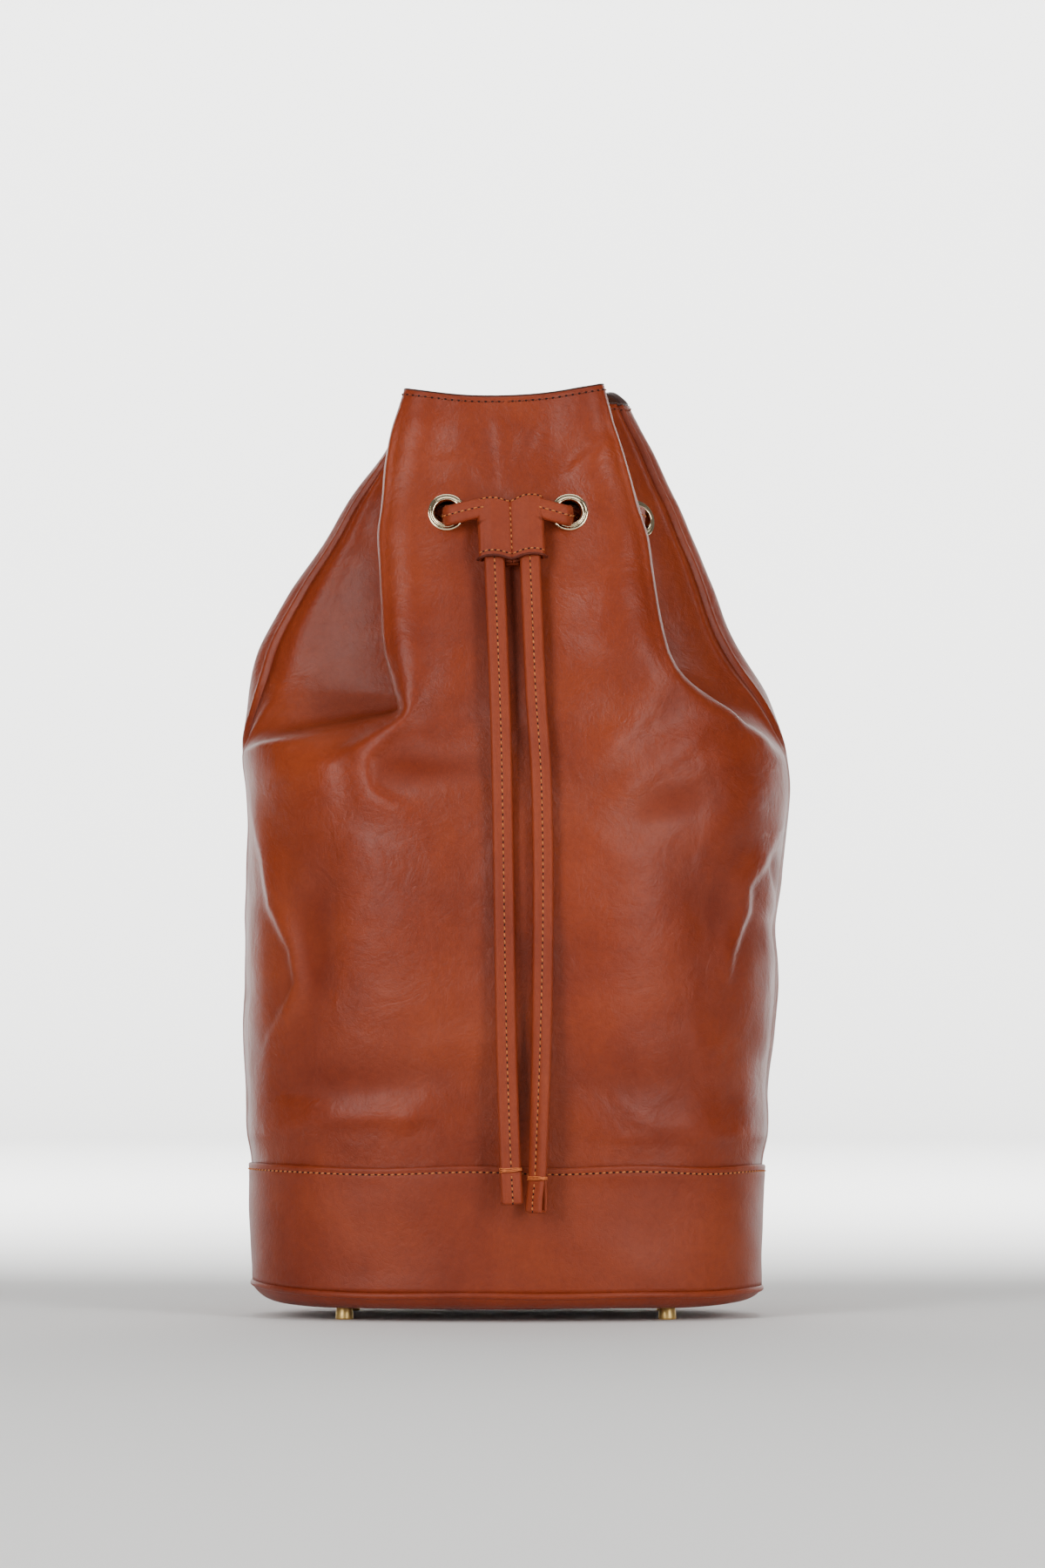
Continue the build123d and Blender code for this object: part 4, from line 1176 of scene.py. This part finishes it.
def band_height(line):
    """How far the band's top seam and the welt lift or dip along the outline."""
    x, y = line[..., 0], line[..., 1]
    return 0.0009 * np.sin(x * 31.0 + 0.6) * np.cos(y * 17.0) + 0.0006 * np.sin(x * 74.0 + y * 40.0)


def end_lift(line):
    """How far the foot of the band and the welt rise towards the two ends of the bag."""
    x = line[..., 0]
    return np.where(x < 0, 0.0040, 0.0012) * (np.abs(x) / BASE_HALF_WIDTH).clip(0, 1) ** 5


def make_band():
    """The band: a wall whose top edge is turned over and stands proud, with soft unevenness below."""
    line, normals = base_line(0.0, 0.0)
    z = np.concatenate([np.linspace(BAND_LOW, BAND_TOP - 0.0075, 24), BAND_TOP - 0.001 * np.array(
        [7.0, 6.4, 5.8, 5.0, 4.0, 3.0, 2.2, 1.4, 0.8, 0.35, 0.08, 0.0])])
    t = (z - BAND_LOW) / (BAND_TOP - BAND_LOW)
    turned = smooth_step(z, BAND_TOP - 0.0110, BAND_TOP - 0.0020)
    crown = np.sqrt(np.clip(1 - ((z - (BAND_TOP - 0.0012)) / 0.0012).clip(0, 1) ** 2, 0, 1))
    stitch_dip = 0.00022 * np.exp(-((z - (BAND_TOP - BAND_STITCH_DROP)) / 0.0008) ** 2)
    out = -BAND_TAPER * (1 - t) + 0.0004 * turned * crown - stitch_dip - 0.0007 * (1 - crown)
    base = line[None] + normals[None] * out[:, None, None]
    base[..., 2] = z[:, None]
    ease = smooth_step(z, BAND_LOW, BAND_LOW + 0.012) * (1 - turned)
    wave = slack(base, 21, 0.060, 0.00045) + slack(base, 22, 0.022, 0.00012)
    base = base + normals[None] * (wave * ease[:, None])[..., None]
    base[..., 2] += band_height(base) * t[:, None] + end_lift(base) * ((1 - t) ** 3)[:, None]
    inner = line[None] + normals[None] * (-0.0022 - BAND_TAPER * (1 - t))[:, None, None]
    inner[..., 2] = base[..., 2]
    piece, _ = walled_piece("base_band_leather", base, inner, wrap=True)
    finish_piece(piece, materials["band"], replaces=("base_band",))
    row = line + normals * 0.00012
    row[:, 2] = BAND_TOP - BAND_STITCH_DROP + band_height(row)
    row, out = np.concatenate([row, row[:1]]), np.concatenate([normals, normals[:1]])
    stitch_row("band_stitches", row, out, hole=0.00052)


def make_piping():
    """The welt: a round cord of leather along the outline."""
    line, normals = base_line(WELT_INSET, WELT_HEIGHT)
    line[:, 2] += 0.4 * band_height(line) + end_lift(line)
    turn = full_turn(20)
    profile = WELT_RADIUS * np.stack([np.cos(turn), np.sin(turn)], axis=-1)
    piece = joined_piece("welt_piping", [hoop_shell(swept_grid(line, normals, profile, closed=True))])
    finish_piece(piece, materials["band"], replaces=("bottom_piping",))


def make_base_panel():
    """The base leather: outline shrunk towards the middle, bellied down by the fourth power of its radius,
    closed by a flat top."""
    line, _ = base_line(0.0014, 0.0, 240)
    r = np.concatenate([np.linspace(0.002, 0.90, 30), np.linspace(0.91, 1.0, 20)])
    under = line[None] * r[:, None, None]
    under[..., 2] = (0.0056 + 0.0062 * r ** 22)[:, None]
    under[..., 2] += end_lift(under) * (r ** 12)[:, None]
    calm = np.ones(under.shape[:2])
    for sx in (-1, 1):
        for sy in (-1, 1):
            away = np.hypot(under[..., 0] - sx * FOOT_X, under[..., 1] - sy * FOOT_Y)
            calm = calm * smooth_step(away, 0.005, 0.020)
    under[..., 2] += calm * (slack(under, 31, 0.070, 0.00035) + 0.0003)
    top = under.copy()
    top[..., 2] = np.maximum(BAND_LOW - 0.0001, under[..., 2] + 0.0004)
    piece, _ = walled_piece("base_panel_leather", top, under, wrap=True)
    finish_piece(piece, materials["band"], replaces=("base_panel",))


def make_lining_cup():
    """The lining's floor and lower wall: from the middle out along the board, then up inside the band."""
    line, _ = base_line(0.0, 0.0, 240)
    floor = BOARD_TOP + 0.001
    scale = 1 - LINING_INSET / BASE_HALF_DEPTH
    share = np.concatenate([np.linspace(0.002, 0.985, 26) * scale, np.full(24, scale)])
    height = np.concatenate([np.full(26, floor), np.linspace(floor + 0.001, BODY_LOW, 24)])
    grid = line[None] * share[:, None, None]
    grid[..., 2] = height[:, None]
    swell = 0.5 + 0.5 * np.sin(grid[..., 0] * 55) * np.cos(grid[..., 1] * 70)
    grid[..., 2] += 0.0006 * swell * (height[:, None] == floor)
    inner = line[None] * (share - 0.008 * (height > floor))[:, None, None]
    inner[..., 2] = grid[..., 2] + LINING
    piece, _ = walled_piece("lining_floor", inner, grid, wrap=True)
    finish_piece(piece, materials["cloth"], replaces=("lining_cup",))


# ---------------------------------------------------------------- hardware

def lathe_shell(profile, place, normal, steps=48):
    """Points and quads of a closed profile of (radius, height) turned about an axis."""
    normal = Vector(normal)
    side = normal.orthogonal().normalized()
    up = normal.cross(side)
    turn = full_turn(steps)
    r, h = np.asarray(profile).T
    ring = np.cos(turn)[None, :, None] * np.array(side) + np.sin(turn)[None, :, None] * np.array(up)
    grid = np.array(place) + r[:, None, None] * ring + h[:, None, None] * np.array(normal)
    return grid.reshape(-1, 3), grid_faces(*grid.shape[:2], wrap_rows=True, wrap_columns=True)


def eyelet_profile():
    """Rolled outer rim, a dip, and a raised rounded inner lip that runs down into the barrel."""
    hole, outer = EYELET_HOLE, EYELET_OUTER
    rim = np.linspace(-0.9, math.pi * 0.62, 9)
    rim_r = outer - 0.0010 + 0.0010 * np.cos(rim)
    rim_h = 0.0005 + 0.0010 * np.sin(rim)
    lip = np.linspace(math.pi * 0.28, math.pi, 9)
    lip_r = hole + 0.0009 + 0.0009 * np.cos(lip)
    lip_h = 0.0011 + 0.0010 * np.sin(lip)
    back = -LEATHER - FACING - 0.0016
    r = np.concatenate([rim_r, [outer - 0.0019, hole + 0.0017], lip_r,
                        [hole, hole, hole + 0.0009, hole + 0.0009]])
    h = np.concatenate([rim_h, [0.00125, 0.00135], lip_h, [0.0, back, back, -0.0003]])
    return np.stack([r, h], axis=-1)


def make_eyelets():
    """Each grommet, and the flat washers inside as one piece."""
    washers = []
    hole, top = EYELET_HOLE + 0.00095, -LEATHER - FACING - 0.0003
    outer = EYELET_OUTER - 0.0004
    flat = ((hole, top - 0.0009), (outer - 0.0003, top - 0.0009), (outer, top - 0.00045),
            (outer - 0.0003, top), (hole, top))
    for name, index in EYELETS.items():
        place, normal = eyelet_place(index)
        piece = joined_piece("grommet_" + name, [lathe_shell(eyelet_profile(), place, normal, 64)])
        finish_piece(piece, materials["gold"], replaces=("eyelet_" + name,))
        washers.append(lathe_shell(flat, place, normal))
    piece = joined_piece("grommet_washers", washers)
    finish_piece(piece, materials["gold"], replaces=("eyelet_washers",))


def make_feet():
    """Each foot: a turned stud with a rounded edge and a slight taper, and its shank up into the board."""
    radius, edge, shank, axis = FOOT_RADIUS, 0.0007, 0.0015, 0.00002
    turn = np.linspace(0.0, math.pi / 2, 7)
    edge_r, edge_h = radius - edge + edge * np.sin(turn), edge - edge * np.cos(turn)
    r = np.concatenate([[axis], edge_r, [radius - 0.0002, radius - 0.0005, radius - 0.0009,
                                         shank, shank, axis]])
    h = np.concatenate([[0.0], edge_h, [0.0030, 0.0060, FOOT_TOP, FOOT_TOP,
                                        BOARD_TOP + 0.0009, BOARD_TOP + 0.0009]])
    for name, x, y in (("front_left", -FOOT_X, -FOOT_Y), ("front_right", FOOT_X, -FOOT_Y),
                       ("back_left", -FOOT_X, FOOT_Y), ("back_right", FOOT_X, FOOT_Y)):
        shell = lathe_shell(np.stack([r, h], axis=-1), (x, y, 0.0), (0.0, 0.0, 1.0))
        piece = joined_piece("stud_" + name, [shell])
        finish_piece(piece, materials["brass"], replaces=("foot_" + name,))


def make_tabs():
    """Each ring tab: one strip folded round the ring's bar into a double tongue, riveted and stitched."""
    turn = np.linspace(-math.pi / 2, -math.pi * 1.42, 18)
    radius = RING_STAND - TAB_WALL / 2
    wrap = np.stack([radius * np.cos(turn), RING_STAND + radius * np.sin(turn)], axis=-1)
    low = np.stack([np.linspace(0.028, 0.002, 14), np.full(14, TAB_WALL / 2)], axis=-1)
    rise = np.linspace(0.0, 1.0, 12)
    high_y = 0.0052 + rise * 0.0228
    high_z = TAB_WALL * 1.5 + 0.0016 * (1 - rise) ** 6
    side_line = np.concatenate([low, wrap, np.stack([high_y, high_z], axis=-1)])
    b = np.linspace(-1.0, 1.0, 13)
    a = TAB_WALL / 2 * (0.5 + 0.5 * (1 - np.abs(b) ** 6) ** 0.5)
    for name, place in TABS.items():
        origin, across, up, outward = tab_frame(*place)
        line = origin + side_line[:, :1] * up + side_line[:, 1:] * outward
        tangent = unit(np.gradient(line, axis=0))
        face = np.cross(np.broadcast_to(across, tangent.shape), tangent)
        end = np.minimum(side_line[:, 0].clip(0.0), 0.028)
        rounded = np.sqrt(np.clip(1 - ((end - 0.022) / 0.0068) ** 2, 0.05, 1))
        half = np.where(end > 0.022, TAB_WIDTH / 2 * rounded, TAB_WIDTH / 2)
        profile = np.concatenate([
            np.stack([np.broadcast_to(a, (len(line), 13)), half[:, None] * b], axis=-1),
            np.stack([np.broadcast_to(-a[::-1], (len(line), 13)), half[:, None] * b[::-1]], axis=-1)], axis=1)
        piece = joined_piece("tab_" + name, [tube_shell(swept_grid(line, face, profile))])
        finish_piece(piece, materials["strap"], replaces=("ring_tab_" + name,))
        arc = np.linspace(0.0, math.pi, 16)
        left = np.stack([np.full(8, -0.0054), np.linspace(0.0075, 0.022, 8)], axis=-1)
        cap = np.stack([-0.0054 * np.cos(arc), 0.022 + 0.0046 * np.sin(arc)], axis=-1)
        outline = np.concatenate([left, cap[1:-1], left[::-1] * [-1.0, 1.0]])
        row = origin + outline[:, :1] * across + outline[:, 1:] * up + outward * (2 * TAB_WALL + 0.00005)
        stitch_row("tab_stitches_" + name, row, np.broadcast_to(outward, row.shape).copy(),
                   pitch=0.0026)


# ---------------------------------------------------------------- keeper

def keeper_frame():
    """The keeper's top middle, and its directions across, up and outward."""
    here, normal = eyelet_place(1)
    level = here + normal * STRAP_STAND
    low, high = along(FRONT_DEPTH, [0.312, EYELET_Z])
    slope = (low - high) / (EYELET_Z - 0.312)
    drop = level[2] - 0.298
    up = unit(np.array([0.00235 - 0.00655, slope * drop, drop]))
    across = unit(np.array([1.0, 0.0, -up[0]]))
    outward = unit(np.cross(across, up))
    across = np.cross(up, outward)
    return np.array([0.00235, level[1], level[2]]) + up * 0.0054, across, up, outward


def sleeve_outline(count=240):
    """Half-wrap outline of the sleeve from its middle at the front to its middle at the back, as (across,
    outward) points: a barrel hump over the strap, a tight round at the side, flat behind."""
    low, front, back = 0.0014, 0.0039, -0.0033
    x = np.linspace(0.0, 1.0, 60)
    hump_x = x * (SLEEVE_HALF - SLEEVE_ROUND)
    hump_y = low + (front - low) * np.sin(x * math.pi / 2) ** 0.55
    hump_y = hump_y - 0.0011 * smooth_step(x, 0.62, 1.0)
    turn = np.linspace(math.pi / 2, -math.pi / 2, 30)
    centre_y = (hump_y[-1] + back) / 2
    side_x = hump_x[-1] + SLEEVE_ROUND * np.cos(turn)
    side_y = centre_y + (hump_y[-1] - back) / 2 * np.sin(turn)
    rear_x = np.linspace(hump_x[-1], 0.0, 40)
    rear_y = np.full(40, back)
    x = np.concatenate([hump_x, side_x[1:], rear_x[1:]])
    y = np.concatenate([hump_y, side_y[1:], rear_y[1:]])
    reach = np.concatenate(([0.0], np.cumsum(np.hypot(np.diff(x), np.diff(y)))))
    at = np.linspace(0.0, reach[-1], count)
    return np.interp(at, reach, x), np.interp(at, reach, y), at


def keeper_surface(share, height):
    """Points of the sleeve's outside. share runs -1 to 1 round the half outlines, height is
    0 at the top; above the opening only the front stays, so the share is drawn in there."""
    origin, across, up, outward = keeper_frame()
    x, y, reach = sleeve_outline()
    full = reach[-1]
    closed = smooth_step(-height, KEEPER_OPEN - 0.0015, KEEPER_OPEN + 0.0010)
    length = SLEEVE_FRONT + (full - 0.0002 - SLEEVE_FRONT) * closed
    at = np.abs(share) * length
    u = np.sign(share) * np.interp(at, reach, x)
    w = np.interp(at, reach, y)
    dip = 0.0017 * np.exp(-(u / 0.0048) ** 2) + 0.0008 * smooth_step(np.abs(u), 0.012, SLEEVE_HALF)
    lift = 0.0007 * smooth_step(u, 0.0, 0.008) * smooth_step(height, -KEEPER_HEIGHT, 0.0)
    bow = 0.0004 * np.sin(np.clip(-height / KEEPER_HEIGHT, 0, 1) * math.pi)
    v = height - dip + lift
    w = w + np.where(w > 0.0, bow, 0.0)
    return origin + u[..., None] * across + v[..., None] * up + w[..., None] * outward


def make_keeper():
    """The sleeve with its stitch rows and a bound lower lip, darkened with painted shade."""
    share = np.linspace(-1.0, 1.0, 241)
    height = -np.concatenate([[0.0, 0.0004], np.linspace(0.0010, KEEPER_HEIGHT - 0.001, 60),
                              [KEEPER_HEIGHT - 0.0004, KEEPER_HEIGHT]])
    grid_share, grid_height = np.meshgrid(share, height)
    outer = keeper_surface(grid_share, grid_height)
    normals = unit(np.cross(np.gradient(outer, axis=0), np.gradient(outer, axis=1)))
    edge = np.minimum(np.minimum(-grid_height, KEEPER_HEIGHT + grid_height), 0.0009) / 0.0009
    outer_round = outer - normals * (0.00035 * (1 - edge))[..., None]
    inner = outer - normals * (0.0013 - 0.00035 * (1 - edge))[..., None]
    piece, _ = walled_piece("keeper_leather", outer_round[::-1], inner[::-1])
    finish_piece(piece, materials["strap"], "keeper", replaces=("keeper_sleeve",))
    _, _, up, outward = keeper_frame()
    _, _, reach = sleeve_outline()
    for name, at, span in (("top", -0.0009, SLEEVE_ROW / SLEEVE_FRONT),
                           ("bottom", -KEEPER_HEIGHT + 0.0030, SLEEVE_ROW / reach[-1])):
        row_share = np.linspace(-span * 0.93, span * 0.93, 80)
        row = keeper_surface(row_share, np.full(80, at))
        stitch_row("keeper_stitches_" + name, row + outward * 0.00002,
                   np.broadcast_to(outward, row.shape).copy(), body="keeper",
                   pitch=KEEPER_PITCH)
    down = np.linspace(-0.0030, -KEEPER_HEIGHT + 0.0048, 40)
    row = keeper_surface(np.zeros(40), down)
    stitch_row("keeper_stitches_middle", row + outward * 0.0001, np.broadcast_to(outward, row.shape).copy(),
               body="keeper", pitch=KEEPER_PITCH)
    lip_share = np.linspace(-0.50, 0.50, 160)
    lip = keeper_surface(lip_share, np.full(160, -KEEPER_HEIGHT + 0.0002))
    tangent = unit(np.gradient(lip, axis=0))
    face = np.cross(np.broadcast_to(up, tangent.shape), tangent)
    turn = full_turn(12)
    profile = np.stack([0.00085 * np.cos(turn) - 0.00045, 0.00062 * np.sin(turn)], axis=-1)
    piece = joined_piece("keeper_bound_lip", [tube_shell(swept_grid(lip, face, profile))])
    # the lip's dark colour is painted shade
    finish_piece(piece, materials["lip"], "keeper")


# ---------------------------------------------------------------- finishes of the carried-over nodes

def finish_nodes():
    """Give every CAD node that stays its own material."""
    finishes = {"base_board": "board", "foot_washers": "steel", "keeper_strip": "strap", "tab_rivets": "gold",
                "d_ring_top": "gold", "d_ring_left": "gold", "d_ring_right": "gold"}
    for node, finish in finishes.items():
        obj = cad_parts[node]
        obj.data.materials.clear()
        obj.data.materials.append(materials[finish])


# ---------------------------------------------------------------- making

place_camera()
materials = make_materials()
make_tails()
make_loop()
studio_floor()
light_studio()
make_leather()
make_facing()
make_mouth_edge()
make_band()
make_piping()
make_base_panel()
make_lining_cup()
make_eyelets()
make_feet()
make_tabs()
make_keeper()
finish_nodes()
